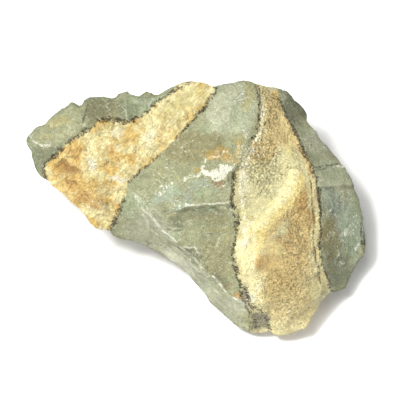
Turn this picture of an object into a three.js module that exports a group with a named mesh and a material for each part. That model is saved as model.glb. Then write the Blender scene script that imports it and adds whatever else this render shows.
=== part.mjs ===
// Septarian nodule: a broken piece of a grey-green marl nodule, crossed by two wide veins of
// honey-coloured calcite. It is one stone and one closed solid.
//
// Two frames are used, both in millimetres. The stone rests in the world frame: x to the right,
// y to the back, z up, ground at z = 0. Its broken face is drawn in the face frame: x to the right,
// y up across the face, and a height out of it. The face leans towards the front of the stone.
import * as THREE from 'three';
import { ImprovedNoise } from 'three/addons/math/ImprovedNoise.js';

// ---- Driving dimensions (millimetres, degrees) -------------------------------------------------

const FACE_TILT = 18;             // lean of the broken face from level
const FACE_RISE = 27;             // middle of the broken face above the ground
const BOX_CENTRE = [-1.3, 0.9];   // middle of the stone in x and y, which becomes the origin

const EDGE = { calcite: 2.2, matrix: 3.4, hidden: 5.6 };       // longest triangle sides
const FEATURE_STEP = 3.2;         // longest stretch between two points of a feature line
const SMOOTHING_PASSES = { calcite: 6, matrix: 4, hidden: 2 };
const SMOOTHING_SHARE = 0.5;
const FLAT_TOLERANCE = 1e-6;
const TURN_LIMIT = 0.6;           // cosine of the most that turning an edge may bend the surface

const CALCITE_RECESS = 0.7;       // the calcite broke this much deeper than the marl beside it
const RECESS_WIDTH = 1.3;
const RIM_CALM = 2.5;             // relief fades out this close to the rim of the face
const GROUND_CALM = 6;            // and this close to the ground
const HACKLE = {                  // size of the broken grains or chips, and how far they stand up and lean
  matrix: { size: 8, height: 0.2, slope: 0.11 },
  calcite: { size: 4.6, height: 0.75, slope: 0.22 },
  hidden: { size: 13, height: 0.7, slope: 0.2 },
};
const RELIEF = {                  // [wave length, height] of each layer of unevenness
  matrix: [[13, 0.45], [5.5, 0.25]],
  calcite: [[9, 0.5], [3.6, 0.3]],
  hidden: [[17, 1.6], [7, 0.6]],
};

const MARL_COLOUR = 0xaeae92;
const MARL_ROUGHNESS = 0.85;

// ---- The broken face (face frame: x, y, height) ------------------------------------------------

const RIM = [
  [-56, 22.4, -4], [-55, 24, -2], [-53.1, 25, 0], [-50.6, 25.9, 2], [-49, 27.8, 4], [-46.7, 29.4, 5.5],
  [-43.5, 30.7, 7], [-40.3, 32.5, 8], [-37.8, 33.6, 8.5], [-37.1, 35, 9], [-35.2, 36, 9.5],
  [-31, 36.2, 10], [-28.2, 35.7, 10.5], [-25.9, 36.2, 10.5], [-25.3, 37.1, 10.5], [-22.4, 37, 11],
  [-18.6, 36, 11.5], [-15, 35.7, 12], [-11.8, 36.5, 12.5], [-8.6, 37.8, 12.5], [-5.1, 40, 12.5],
  [1, 40.8, 13], [3.2, 39.7, 13], [5.1, 39.4, 13], [9, 40.5, 13], [12.2, 40.5, 12.5], [12.8, 41.4, 12],
  [15.4, 41.3, 11.5], [17.9, 40.3, 11], [21.1, 39.4, 10], [22.4, 38.2, 9], [24.6, 38.1, 8],
  [27.2, 38.1, 6.5], [29.1, 37, 4.5], [30.4, 34.9, 3], [32.6, 32.3, 1], [33.6, 29.4, 0], [34.9, 26.9, 0],
  [36.8, 23, -0.5], [39, 20.2, -1], [41.6, 17.8, -2], [43.5, 17, -3], [45.4, 14.7, -3.5],
  [47.7, 11.5, -4], [49.3, 7.7, -5], [50.9, 3.8, -6], [51.8, -0.6, -7], [52.6, -5.1, -8],
  [53.4, -9.6, -8.5], [53, -13.4, -9], [51.2, -16.6, -9.5], [49.3, -19.2, -10], [48, -22.1, -10],
  [46.7, -25, -10], [44.2, -26.4, -9], [42.2, -25.9, -5], [39.7, -28.5, -4], [37.8, -31.4, -4],
  [35.5, -35.2, -4.5], [33.9, -38.1, -5.5], [30.7, -39.2, -6.5], [27.2, -40.2, -7], [24.3, -40.5, -8],
  [22.7, -39, -8.5], [19.8, -39.4, -9.5], [16, -39.4, -10], [12.8, -37.9, -10], [9.3, -35.2, -9.5],
  [5.4, -31.5, -9], [2.2, -27.8, -9], [-0.6, -24.3, -8.5], [-4.2, -20.2, -8], [-8.3, -16.6, -7.5],
  [-13.1, -13.9, -7], [-17.9, -11.2, -6], [-22.1, -9.8, -5], [-25.6, -9.3, -4], [-27.8, -8.2, -2.5],
  [-29.1, -6.7, -1], [-32.8, -6, 0], [-35.5, -3.9, 1], [-37.1, -1, 1.5], [-40, 1.5, 2], [-43.2, 4.6, 2],
  [-46.6, 7.1, 1], [-49, 9.3, 0], [-51.2, 10.9, -2], [-53, 13.4, -4], [-53.8, 16.6, -5],
  [-54.1, 18.9, -5.5], [-55.5, 20.5, -5],
];

// Borders of the two veins, each from one rim of the face to the other.
const LEFT_VEIN_UPPER = [
  [-49, 9.3, 0], [-50.1, 11.8, 1], [-49.9, 14.4, 2.5], [-48.3, 16, 3.5], [-46.1, 17.4, 4.5],
  [-44.2, 19.4, 5.5], [-41.9, 21.6, 6.5], [-39, 23.7, 7.5], [-36.2, 25.3, 8.5], [-33.9, 26.9, 9.5],
  [-32.3, 28.5, 10.5], [-29.4, 29, 11.5], [-26.2, 28.5, 12], [-23.4, 28.3, 12.5], [-20.8, 29, 13],
  [-18.6, 30.2, 13], [-16.3, 32, 13], [-14.1, 34.2, 13], [-11.5, 35.7, 12.8], [-8.6, 37.8, 12.5],
];
const LEFT_VEIN_LOWER = [
  [5.1, 39.4, 13], [4.2, 37.1, 13.8], [2.6, 34.6, 14.5], [0.6, 32, 15], [-1.6, 29.8, 15.3],
  [-3.5, 27.5, 15.5], [-5.8, 25, 15.5], [-8.3, 22.1, 15.3], [-10.9, 19.8, 15], [-13.4, 17.3, 14.5],
  [-16, 15, 13.8], [-18.6, 12.8, 13], [-21.1, 10.6, 12], [-23, 8.6, 11], [-23.7, 6.1, 10],
  [-23.7, 3.8, 9], [-25.3, 1.3, 7.5], [-26.4, -1.3, 5.5], [-27.5, -4.2, 2.5], [-29.1, -6.7, -1],
];
const RIGHT_VEIN_LEFT = [
  [17.9, 40.3, 11], [18.7, 37.4, 12.5], [18.9, 34.2, 14], [18.6, 30.7, 15], [18.6, 27.5, 15.8],
  [17.9, 24.3, 16.2], [16.3, 21.8, 16.5], [15.4, 19.5, 16.8], [13.8, 17, 17], [12.2, 14.4, 17],
  [10.9, 11.5, 16.8], [10.7, 8.3, 16.2], [10.6, 5.4, 15.6], [10.1, 2.9, 15], [11.2, 0.3, 13.8],
  [12.2, -3.2, 13], [11.5, -6.7, 12], [11, -10.6, 11], [10.7, -14.4, 10], [11.2, -17.9, 8.8],
  [12.2, -21.1, 7.2], [12.8, -24.3, 5.5], [13.1, -27.2, 3], [14.1, -29.8, 0.5], [15.7, -32.6, -2],
  [16.6, -35.5, -5], [16, -39.4, -10],
];
const RIGHT_VEIN_RIGHT = [
  [24.6, 38.1, 8], [25.3, 35.5, 9], [26.6, 32.6, 10], [27.8, 29.8, 10.5], [29.4, 26.6, 11],
  [31, 23.4, 11.3], [32.6, 19.8, 11.5], [34.2, 16.6, 11.5], [35.7, 13.8, 11.5], [37, 10.2, 11.5],
  [37.4, 7.7, 11.3], [37.8, 6.4, 11.2], [38.2, 2.6, 11], [38.6, -1.6, 10.5], [38.6, -5.8, 10],
  [38.2, -9.6, 9.5], [38.4, -13.4, 8.8], [39, -17, 7.5], [40, -19.8, 5.5], [41.3, -22.7, 2],
  [42.2, -25.9, -5],
];

// Edges of the other forms of the face.
const FACE_EDGES = {
  crust: [
    [12.8, -24.3, 5.5], [14.7, -25, 5], [15.5, -28.2, 3.5], [16.6, -31.2, 2], [19.8, -32, 1.5],
    [21.1, -34.9, -1.5], [21.8, -37.1, -5], [22.7, -39, -8.5],
  ],
  plateFoot: [
    [28.8, 12.8, 12.6], [26.9, 8.6, 12.7], [23.7, 4.2, 12.6], [19.8, -0.3, 12.3], [16, -4.8, 12],
    [13.1, -8.3, 11.5],
  ],
  plateCrest: [
    [30.7, 12.2, 13.6], [28.8, 8.3, 14.5], [25.9, 4.2, 15], [22.1, -0.3, 15], [18.2, -4.5, 14.6],
    [15, -8.6, 14], [13.8, -12.8, 13], [13.8, -17.3, 11.8], [14.4, -21.1, 10.3], [16, -25, 8.5],
    [18.2, -28.8, 6.3], [19.8, -30.7, 5],
  ],
  plateBack: [
    [33.6, 10.6, 12.3], [33, 6.7, 12.6], [31.4, 2.9, 13], [29.1, -0.6, 13.2], [26.6, -4.5, 13.3],
    [23.7, -8, 13.2], [20.5, -11.2, 12.8], [17.9, -14.1, 12.2], [17.3, -17.9, 11], [18.2, -22.1, 9.3],
    [19.2, -25.9, 7.8], [20.5, -29.4, 6],
  ],
  brow: [
    [-9, 10.9, 15], [-5.4, 9.6, 16.3], [-1.6, 10.1, 17.2], [2.6, 10.6, 17.8], [6.4, 10.9, 18],
    [9.3, 11.2, 17.5],
  ],
  ledgeTop: [
    [-11.5, 0.6, 12.5], [-9, -0.2, 13], [-6.4, 0, 13.6], [-4.5, 1, 14.6], [-1.3, 1.6, 15], [2.2, 2, 15.2],
    [5.8, 2.3, 15.2], [10.1, 2.9, 15],
  ],
  ledgeFoot: [
    [-10.9, -1.1, 11], [-8.6, -1.6, 11], [-6.1, -1.3, 11.3], [-3.8, -0.3, 11.9], [-0.6, 0.3, 12.4],
    [2.6, 0.7, 12.7], [6.1, 1, 12.8], [11.2, 0.3, 13.8],
  ],
  spine: [
    [-23, 8.6, 11], [-21.4, 5.8, 10.8], [-18.9, 2.9, 11], [-16.3, 0.3, 11], [-13.8, -2.2, 10.6],
    [-11.8, -5.1, 10], [-9.6, -8.3, 9.3], [-6.7, -11.5, 8.4], [-3.8, -15, 7.4], [-1, -18.6, 6.4],
    [1.9, -21.4, 5.2], [4.8, -24, 4], [7.7, -26.2, 2.8], [10.6, -28.2, 1.5], [14.1, -29.8, 0.5],
  ],
  tipRidge: [
    [-54.2, 22.1, -1.2], [-53.4, 21.8, 0.8], [-51.5, 20.2, 1.8], [-49.3, 18.9, 3], [-46.1, 19.8, 4.6],
    [-44.2, 19.4, 5.5],
  ],
  stepTop: [
    [-35.2, 36, 9.5], [-35.7, 33.6, 10.8], [-36, 31, 11.1], [-36.3, 28.5, 10.8], [-36.2, 25.3, 8.5],
  ],
  stepFoot: [[-37.1, 35, 9], [-37, 33, 9.6], [-37.3, 30.7, 9.8], [-37.6, 28.5, 9.6], [-37.4, 26.6, 8.8]],
  darkFacetEdge: [[27.8, 29.8, 10.5], [30.7, 28.8, 5.5], [33.6, 29.4, 0]],
  darkFacetTop: [[26.6, 32.6, 10], [27.5, 35.5, 8.5], [29.1, 37, 4.5]],
  strip: [
    [30.7, 28.8, 5.5], [32, 26.2, 7], [33.9, 22.4, 7.2], [35.8, 18.9, 7], [37.4, 16.3, 6.6], [39, 14.4, 6],
  ],
  bandEdge: [[37.4, 7.7, 11.3], [41, 7.7, 7.8], [44.2, 8, 4.3], [47, 8.3, 0], [49.3, 7.7, -5]],
  bandFoot: [[39, 6.2, 8.8], [41.3, 6.6, 6.5], [44.5, 6.9, 3], [47.4, 7, -1]],
  chipEdge: [
    [39.4, 4.6, 8.4], [41, 1.6, 7], [42.9, -1.3, 5], [45.1, -3.2, 2.5], [48, -1.3, -3], [49, 2.2, -4],
    [48.6, 5.2, -3.8],
  ],
};

// Swells and hollows between the edges.
const SWELLS = {
  leftVein: [
    [-1.6, 35.8, 13.5], [-6.4, 31.4, 14.5], [-11.2, 27.2, 15], [-16, 23, 14.5], [-22.4, 20.8, 13.5],
    [-28.8, 19.2, 12], [-35.2, 17.6, 9.5], [-41.6, 16, 6.5], [-44.8, 12.8, 4.5], [-40, 9.6, 5.5],
    [-35.2, 8, 7], [-30.4, 8, 8.5], [-27.2, 4.8, 8.5], [-33.6, 1.6, 5], [-38.4, 4.8, 4], [-30.4, -0.6, 4],
    [-43.2, 8.6, 3],
  ],
  rightVeinTop: [
    [21.8, 35.2, 12], [23, 30.4, 13], [24, 25.6, 13.5], [21.8, 20.8, 14.5], [27.2, 20.8, 12.8],
    [19.8, 16, 15], [16, 12.8, 15], [24, 14.4, 14], [30.4, 16, 12.5],
  ],
  druse: [[14.4, 6.4, 13.8], [19.8, 8, 13.5], [14.1, -0.6, 12.2], [19.2, 2.2, 12.6]],
  rightVeinLow: [
    [35.5, 4.8, 11.6], [34.9, -1.6, 12], [32, -6.4, 12.8], [27.2, -10.6, 12.9], [35.8, -9.6, 10.8],
    [31.4, -14.4, 11.8], [24, -16, 11.5], [35.2, -16.6, 9.3], [28.2, -20.8, 10.2], [22.4, -24, 8.5],
    [36.5, -22.4, 6.5], [32, -26.2, 7], [26.2, -28.8, 6], [39, -25, 2.5], [34.6, -30.7, 3],
    [28.8, -34.6, 0.5], [24.3, -34.6, 0], [32, -35.8, -2],
  ],
  middleBlock: [
    [8, 36.8, 15.3], [12.8, 37.8, 14.5], [4.8, 32, 16.5], [11.2, 31.4, 17.2], [15.4, 33.6, 15.8],
    [1.6, 27.2, 17], [8, 25, 18], [13.8, 26.2, 17.3], [-3.2, 22.4, 16.8], [3.2, 20.2, 18.2],
    [10.2, 19.8, 18.4], [-8, 17.6, 16], [-1.6, 15.4, 17.6], [-12.8, 13.4, 14.8], [1.6, 6.4, 16.3],
    [-19.2, 8, 11.8], [-16, 9.6, 13.2], [-15.4, 4.5, 12.4], [-12.2, 5.8, 13.6],
  ],
  facetUnderLedge: [
    [-4.8, -4.8, 10.8], [1.6, -3.2, 11.8], [7, -3.2, 12.3], [-1.6, -9.6, 9.5], [4.8, -9.6, 10.5],
    [8.3, -8, 11.3], [1.6, -15.4, 8], [6.4, -16.6, 8.2], [9, -20.8, 6.5], [4.8, -20.8, 6], [10.2, -25, 4],
  ],
  hollowFlank: [
    [-22.4, 1.6, 7.5], [-24, -3.2, 3.2], [-19.2, -3.8, 5], [-16, -8, 2.2], [-12.2, -9.6, 1.3],
    [-9, -12.8, 0], [-5.1, -16.6, -1.2], [-1.6, -20.8, -2], [2.6, -25, -3], [6.4, -28.8, -4.5],
    [10.2, -32, -6], [13.8, -35.8, -8],
  ],
  leftBlock: [
    [-48, 24, 4.8], [-44.8, 26.2, 6.5], [-52.5, 17.6, -1.5], [-51.2, 15, 0], [-32, 32.6, 11.3],
    [-27.2, 32.6, 11.5], [-22.4, 33.3, 12], [-17.6, 33.9, 12.3], [-43.2, 27.2, 7.3], [-40, 28.8, 8.3],
    [-41.6, 25, 7.5], [-46.4, 22.4, 4.8],
  ],
  rightBlock: [
    [44.8, 3.8, 1.5], [46.4, 0.6, -1.5], [43.2, 0.6, 4], [41, -4.8, 7], [42.6, -9.6, 5.5],
    [41.6, -15.4, 5], [44.2, -12.8, 2.5], [43.2, -19.2, 0.5], [46.4, -16.6, -3], [50.2, 1.6, -5.5],
    [48, -5.8, -1.5], [46.7, -8, 0], [50.6, -8, -5], [49.9, -12.2, -5], [48, -15.4, -5],
    [46.1, -20.8, -6], [44.2, -23.4, -4.5],
  ],
};

// ---- The hidden side (world frame) -------------------------------------------------------------

// Corners of the small flat spot that the stone rests on.
const REST_SPOT = [[-9, -2], [0, -9], [16, -10], [26, -2], [25, 11], [11, 17], [-5, 13]];

// Corners of the broken facets between the flat spot and the rim.
const HIDDEN_CORNERS = [
  [-44, 29, 33], [-28, 34, 33], [-10, 36.5, 36], [8, 38, 36], [24, 36, 30], [33, 29, 24],
  [-45, 19, 21], [-31, 24, 19], [-13, 29, 15], [8, 31, 11], [25, 28, 12], [38, 19, 14],
  [47, 6, 12], [47, -7, 7], [39, -20, 3.5], [26, -29, 2.5], [13, -28, 2], [1, -16.5, 4.5],
  [-13, -5.5, 7], [-27, 1, 13], [-40, 11, 20], [-19, 11, 7], [1, 23, 4.5], [36, 4, 5], [-29, 13, 13],
];
// Sharper edges between some of them.
const HIDDEN_EDGES = {
  leftKeel: [[-51, 20.5, 25], [-45, 19, 21], [-29, 13, 13], [-19, 11, 7], [-5, 13, 0]],
  backKeel: [[-5, 13, 0], [-13, 29, 15], [-10, 36.5, 36]],
  backCorner: [[11, 17, 0], [25, 28, 12], [33, 29, 24]],
  rightKeel: [[26, -2, 0], [36, 4, 5], [47, 6, 12]],
  frontKeel: [[16, -10, 0], [26, -29, 2.5]],
};
const CORE = new THREE.Vector3(8, 0, 20);    // sees every point of the hidden side

// ---- Frames ------------------------------------------------------------------------------------

const tilt = THREE.MathUtils.degToRad(FACE_TILT);
const [LEAN, LEVEL] = [Math.sin(tilt), Math.cos(tilt)];

function faceToWorld([x, y, height]) {
  return new THREE.Vector3(x, y * LEVEL - height * LEAN, y * LEAN + height * LEVEL + FACE_RISE);
}

function worldToFace({ x, y, z }) {
  return [x, y * LEVEL + (z - FACE_RISE) * LEAN, (z - FACE_RISE) * LEVEL - y * LEAN];
}

// ---- Plane geometry ----------------------------------------------------------------------------

const { clamp, lerp, smoothstep } = THREE.MathUtils;

function insidePolygon(polygon, [x, y]) {
  let inside = false;
  polygon.forEach(([ax, ay], i) => {
    const [bx, by] = polygon[(i + 1) % polygon.length];
    if ((ay > y) !== (by > y) && x < ax + ((y - ay) / (by - ay)) * (bx - ax)) inside = !inside;
  });
  return inside;
}

function distanceToLine(line, [x, y]) {
  let nearest = Infinity;
  for (let i = 1; i < line.length; i++) {
    const [[ax, ay], [bx, by]] = [line[i - 1], line[i]];
    const [dx, dy] = [bx - ax, by - ay];
    const along = clamp(((x - ax) * dx + (y - ay) * dy) / (dx * dx + dy * dy), 0, 1);
    nearest = Math.min(nearest, Math.hypot(x - ax - along * dx, y - ay - along * dy));
  }
  return nearest;
}

const middleOf = (a, b, c) => [(a[0] + b[0] + c[0]) / 3, (a[1] + b[1] + c[1]) / 3];

// Delaunay triangles of points in the plane, as triples of point numbers (Bowyer and Watson's way).
function delaunay(points) {
  const far = 1e4;
  const all = [...points, [-far, -far], [far, -far], [0, far]];
  const withCircle = (a, b, c) => {
    const [[ax, ay], [bx, by], [cx, cy]] = [all[a], all[b], all[c]];
    const twice = 2 * ((bx - ax) * (cy - ay) - (by - ay) * (cx - ax));
    const [bb, cc] = [(bx - ax) ** 2 + (by - ay) ** 2, (cx - ax) ** 2 + (cy - ay) ** 2];
    const ux = ((cy - ay) * bb - (by - ay) * cc) / twice;
    const uy = ((bx - ax) * cc - (cx - ax) * bb) / twice;
    return { corners: [a, b, c], x: ax + ux, y: ay + uy, radius2: ux * ux + uy * uy };
  };
  const first = points.length;
  let triangles = [withCircle(first, first + 1, first + 2)];
  points.forEach(([x, y], p) => {
    const kept = [];
    const hole = new Map();
    for (const t of triangles) {
      if ((x - t.x) ** 2 + (y - t.y) ** 2 >= t.radius2) {
        kept.push(t);
        continue;
      }
      for (const [a, b] of edgesOf(t.corners)) {
        if (!hole.delete(`${b},${a}`)) hole.set(`${a},${b}`, [a, b]);
      }
    }
    triangles = kept.concat([...hole.values()].map(([a, b]) => withCircle(a, b, p)));
  });
  return triangles.map((t) => t.corners).filter((corners) => corners.every((c) => c < first));
}

// ---- Veins -------------------------------------------------------------------------------------

// Each vein's outline is its two borders, joined by a point far outside the stone at each end.
const VEINS = [
  { borders: [LEFT_VEIN_UPPER, LEFT_VEIN_LOWER], ends: [[-2, 60], [-60, -20]] },
  { borders: [RIGHT_VEIN_LEFT, [...RIGHT_VEIN_RIGHT].reverse()], ends: [[30, -60], [21, 60]] },
];

// How far inside a vein a place on the face is, or less than 0 outside.
function veinDepth(place) {
  return Math.max(...VEINS.map(({ borders: [one, other], ends }) => {
    const outline = [...one, ends[0], ...other, ends[1]];
    const away = Math.min(distanceToLine(one, place), distanceToLine(other, place));
    return insidePolygon(outline, place) ? away : -away;
  }));
}

// ---- Cage: points joined into large triangles --------------------------------------------------

const vertices = [];              // places in the world frame
const sides = { face: new Set(), hidden: new Set() };
const lines = [];                 // chains of vertex numbers that stay edges of the mesh

function edgeKey(a, b) {
  return a < b ? `${a},${b}` : `${b},${a}`;
}

function edgesOf([a, b, c]) {
  return [[a, b], [b, c], [c, a]];
}

function between(a, b, share = 0.5) {
  return a.clone().lerp(b, share);
}

function addVertex(place, sideNames) {
  let index = vertices.findIndex((other) => other.distanceTo(place) < 0.01);
  if (index < 0) index = vertices.push(place) - 1;
  sideNames.forEach((name) => sides[name].add(index));
  return index;
}

function addLine(places, sideNames) {
  const chain = [addVertex(places[0], sideNames)];
  for (let i = 1; i < places.length; i++) {
    const pieces = Math.ceil(places[i - 1].distanceTo(places[i]) / FEATURE_STEP);
    for (let n = 1; n <= pieces; n++) {
      chain.push(addVertex(between(places[i - 1], places[i], n / pieces), sideNames));
    }
  }
  lines.push({ chain, sideNames });
  return chain;
}

// Where a point of each side lies on that side's flat map. The hidden side is mapped by its direction
// from the core: the angle from straight down is the distance from the middle of the map.
const flatMap = {
  face: (place) => worldToFace(place),
  hidden: (place) => {
    const { x, y, z } = place.clone().sub(CORE);
    const across = Math.hypot(x, y);
    const angle = Math.atan2(across, -z);
    return [(x / across) * angle, (y / across) * angle];
  },
};

// Triangles of one side, inside the rim.
function joinSide(name, rim) {
  const nudge = (i) => 1e-6 * Math.sin(i * 12.9898);    // keeps four corners off one circle
  const onMap = new Map();
  for (const v of sides[name]) {
    const [x, y] = flatMap[name](vertices[v]);
    onMap.set(v, [x + nudge(2 * v), y + nudge(2 * v + 1)]);
  }
  const members = [...onMap.keys()];
  const outline = rim.map((v) => onMap.get(v));
  return delaunay([...onMap.values()])
    .map((corners) => corners.map((c) => members[c]))
    .filter((corners) => insidePolygon(outline, middleOf(...corners.map((v) => onMap.get(v)))));
}

// Halves each stretch of a line that is no edge of its sides' triangles yet. False if there is none.
function halveLooseStretches(edges) {
  let found = false;
  for (const { chain, sideNames } of lines) {
    for (let i = chain.length - 1; i > 0; i--) {
      const [from, to] = [chain[i - 1], chain[i]];
      if (sideNames.every((name) => edges[name].has(edgeKey(from, to)))) continue;
      chain.splice(i, 0, addVertex(between(vertices[from], vertices[to]), sideNames));
      found = true;
    }
  }
  return found;
}

function buildCage() {
  const closed = (places) => [...places, places[0]];
  const rim = addLine(closed(RIM.map(faceToWorld)), ['face', 'hidden']);
  const faceLines = [...VEINS.flatMap((vein) => vein.borders), ...Object.values(FACE_EDGES)];
  faceLines.forEach((line) => addLine(line.map(faceToWorld), ['face']));
  Object.values(SWELLS).flat().forEach((swell) => addVertex(faceToWorld(swell), ['face']));
  addLine(closed(REST_SPOT.map(([x, y]) => new THREE.Vector3(x, y, 0))), ['hidden']);
  HIDDEN_CORNERS.forEach((corner) => addVertex(new THREE.Vector3(...corner), ['hidden']));
  for (const line of Object.values(HIDDEN_EDGES)) {
    addLine(line.map((corner) => new THREE.Vector3(...corner)), ['hidden']);
  }

  const edgeSet = (triangles) => new Set(triangles.flatMap(edgesOf).map(([a, b]) => edgeKey(a, b)));
  let face;
  let hidden;
  do {
    face = joinSide('face', rim);
    hidden = joinSide('hidden', rim);
  } while (halveLooseStretches({ face: edgeSet(face), hidden: edgeSet(hidden) }));

  const zoneOf = (corners) => {
    const middle = middleOf(...corners.map((v) => worldToFace(vertices[v])));
    return veinDepth(middle) > 0 ? 'calcite' : 'matrix';
  };
  return {
    triangles: [
      ...face.map((corners) => ({ corners, zone: zoneOf(corners) })),
      ...hidden.map(([a, b, c]) => ({ corners: [c, b, a], zone: 'hidden' })),
    ],
    creases: new Set(lines.flatMap(({ chain }) => chain.slice(1).map((v, i) => edgeKey(chain[i], v)))),
  };
}

// ---- Mesh: the cage's triangles cut small, turned for rounder shapes and smoothed --------------

// The ways to cut a triangle a, b, c, by how many of its edges are cut (ab first, then bc).
const CUTS = [
  (a, b, c) => [[a, b, c]],
  (a, b, c, ab) => [[a, ab, c], [ab, b, c]],
  (a, b, c, ab, bc) => [[ab, b, bc], [a, ab, bc], [a, bc, c]],
  (a, b, c, ab, bc, ca) => [[a, ab, ca], [ab, b, bc], [ca, bc, c], [ab, bc, ca]],
];

// Cuts every edge that is too long for its zone at its middle. False if there is none.
function cutLongEdges(stone) {
  const limits = new Map();
  for (const { corners, zone } of stone.triangles) {
    for (const [a, b] of edgesOf(corners)) {
      const limit = Math.min(limits.get(edgeKey(a, b))?.limit ?? Infinity, EDGE[zone]);
      limits.set(edgeKey(a, b), { a, b, limit });
    }
  }
  const middles = new Map();
  for (const [key, { a, b, limit }] of limits) {
    if (vertices[a].distanceTo(vertices[b]) <= limit) continue;
    const middle = vertices.push(between(vertices[a], vertices[b])) - 1;
    middles.set(key, middle);
    if (stone.creases.delete(key)) stone.creases.add(edgeKey(a, middle)).add(edgeKey(middle, b));
  }
  const middleOfEdge = ([a, b]) => middles.get(edgeKey(a, b));
  stone.triangles = stone.triangles.flatMap(({ corners: [a, b, c], zone }) => {
    const turned = [[a, b, c], [b, c, a], [c, a, b]].map((corners) => {
      const cuts = edgesOf(corners).map(middleOfEdge);
      return { corners, cuts, count: cuts.filter((cut) => cut !== undefined).length };
    });
    const cutsFirst = ({ cuts, count }) => cuts.slice(0, count).every((cut) => cut !== undefined);
    const { corners, cuts, count } = turned.find(cutsFirst);
    return CUTS[count](...corners, ...cuts).map((part) => ({ corners: part, zone }));
  });
  return middles.size > 0;
}

function triangleOf(corners) {
  return new THREE.Triangle(...corners.map((v) => vertices[v]));
}

function normalOf(corners) {
  return triangleOf(corners).getNormal(new THREE.Vector3());
}

function angleAt(tip, a, b) {
  const arm = (end) => vertices[end].clone().sub(vertices[tip]);
  return arm(a).angleTo(arm(b));
}

// Turns the edge between two triangles to their other two corners where that makes them rounder.
function turnEdges(stone) {
  const beside = new Map();
  for (const triangle of stone.triangles) {
    for (const [a, b] of edgesOf(triangle.corners)) {
      const key = edgeKey(a, b);
      beside.set(key, [...(beside.get(key) ?? []), triangle]);
    }
  }
  const touched = new Set();
  for (const [key, [one, other]] of beside) {
    if (stone.creases.has(key) || one.zone !== other.zone) continue;
    if (touched.has(one) || touched.has(other)) continue;
    const [a, b] = edgesOf(one.corners).find(([from, to]) => edgeKey(from, to) === key);
    const [c, d] = [one, other].map(({ corners }) => corners.find((v) => v !== a && v !== b));
    if (angleAt(c, a, b) + angleAt(d, a, b) <= Math.PI || beside.has(edgeKey(c, d))) continue;
    const turned = [[c, a, d], [d, b, c]];
    const normals = [one.corners, other.corners, ...turned].map(normalOf);
    const outward = normals[0].clone().add(normals[1]).normalize();
    if (normals.some((normal) => normal.dot(outward) < TURN_LIMIT)) continue;
    [one.corners, other.corners] = turned;
    touched.add(one).add(other);
    beside.set(edgeKey(c, d), [one, other]);
  }
  return touched.size > 0;
}

// Moves each vertex that is on no crease towards the middle of its neighbours.
function smooth(stone, pass) {
  const fixed = new Set([...stone.creases].flatMap((key) => key.split(',').map(Number)));
  for (const { corners, zone } of stone.triangles) {
    if (pass >= SMOOTHING_PASSES[zone]) corners.forEach((v) => fixed.add(v));
  }
  const neighbours = vertices.map(() => new Set());
  for (const { corners } of stone.triangles) {
    edgesOf(corners).forEach(([a, b]) => neighbours[a].add(b) && neighbours[b].add(a));
  }
  const middles = neighbours.map((around) => {
    const sum = new THREE.Vector3();
    around.forEach((v) => sum.add(vertices[v]));
    return sum.divideScalar(around.size);
  });
  vertices.forEach((place, v) => fixed.has(v) || place.lerp(middles[v], SMOOTHING_SHARE));
}

function refine(stone) {
  while (cutLongEdges(stone)) turnEdges(stone);
  for (let pass = 0; pass < Math.max(...Object.values(SMOOTHING_PASSES)); pass++) {
    turnEdges(stone);
    smooth(stone, pass);
  }
}

// ---- Relief: unevenness of the broken surfaces ---------------------------------------------------

const noise = new ImprovedNoise();

function unevenness(layers, { x, y, z }) {
  const layer = ([wave, height]) => height * noise.noise(x / wave + wave, y / wave, z / wave);
  return layers.reduce((sum, each) => sum + layer(each), 0);
}

// A number from 0 to 1 that looks random but is the same every time.
function scatter(cell, draw) {
  const mixed = Math.sin(cell.x * 127.1 + cell.y * 311.7 + cell.z * 74.7 + draw * 53.3) * 43758.5453;
  return mixed - Math.floor(mixed);
}

// Height of broken grains: each grain, the part of space nearest its seed, has its own level and slope.
function hackle({ size, height, slope }, place) {
  const cell = place.clone().divideScalar(size).floor();
  let nearest = { away: Infinity };
  for (let n = 0; n < 27; n++) {
    const step = new THREE.Vector3(n % 3 - 1, Math.floor(n / 3) % 3 - 1, Math.floor(n / 9) - 1);
    const next = cell.clone().add(step);
    const seed = next.clone().add(new THREE.Vector3(scatter(next, 1), scatter(next, 2), scatter(next, 3)));
    seed.multiplyScalar(size);
    const away = seed.distanceTo(place);
    if (away < nearest.away) nearest = { away, next, seed };
  }
  const [level, slopeX, slopeY] = [4, 5, 6].map((draw) => 2 * scatter(nearest.next, draw) - 1);
  const offset = place.clone().sub(nearest.seed);
  return height * level + slope * (slopeX * offset.x + slopeY * offset.y);
}

// How far a place of each kind of surface stands out along its normal.
function relief(zone, place) {
  const broken = unevenness(RELIEF[zone], place) + hackle(HACKLE[zone], place);
  if (zone === 'hidden') return broken * smoothstep(place.z, 0, GROUND_CALM);
  if (zone === 'matrix') return broken;
  const recess = smoothstep(veinDepth(worldToFace(place)), 0, RECESS_WIDTH);
  return lerp(relief('matrix', place), broken - CALCITE_RECESS, recess);
}

function addRelief(stone, normals) {
  const zones = vertices.map(() => new Set());
  stone.triangles.forEach(({ corners, zone }) => corners.forEach((v) => zones[v].add(zone)));
  const onRim = (_, v) => zones[v].has('hidden') && zones[v].size > 1;
  const rim = vertices.filter(onRim).map((place) => place.clone());
  vertices.forEach((place, v) => {
    if (place.z < FLAT_TOLERANCE) return;
    const zone = Object.keys(EDGE).find((name) => zones[v].has(name));
    const fromRim = Math.min(...rim.map((other) => other.distanceTo(place)));
    const height = relief(zone, place) * smoothstep(fromRim, 0, RIM_CALM);
    place.addScaledVector(new THREE.Vector3().fromBufferAttribute(normals, v), height);
  });
}

// ---- The stone -----------------------------------------------------------------------------------

function solidOf(stone) {
  const geometry = new THREE.BufferGeometry().setFromPoints(vertices);
  geometry.setIndex(stone.triangles.flatMap(({ corners }) => corners));
  geometry.computeVertexNormals();
  return geometry;
}

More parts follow.
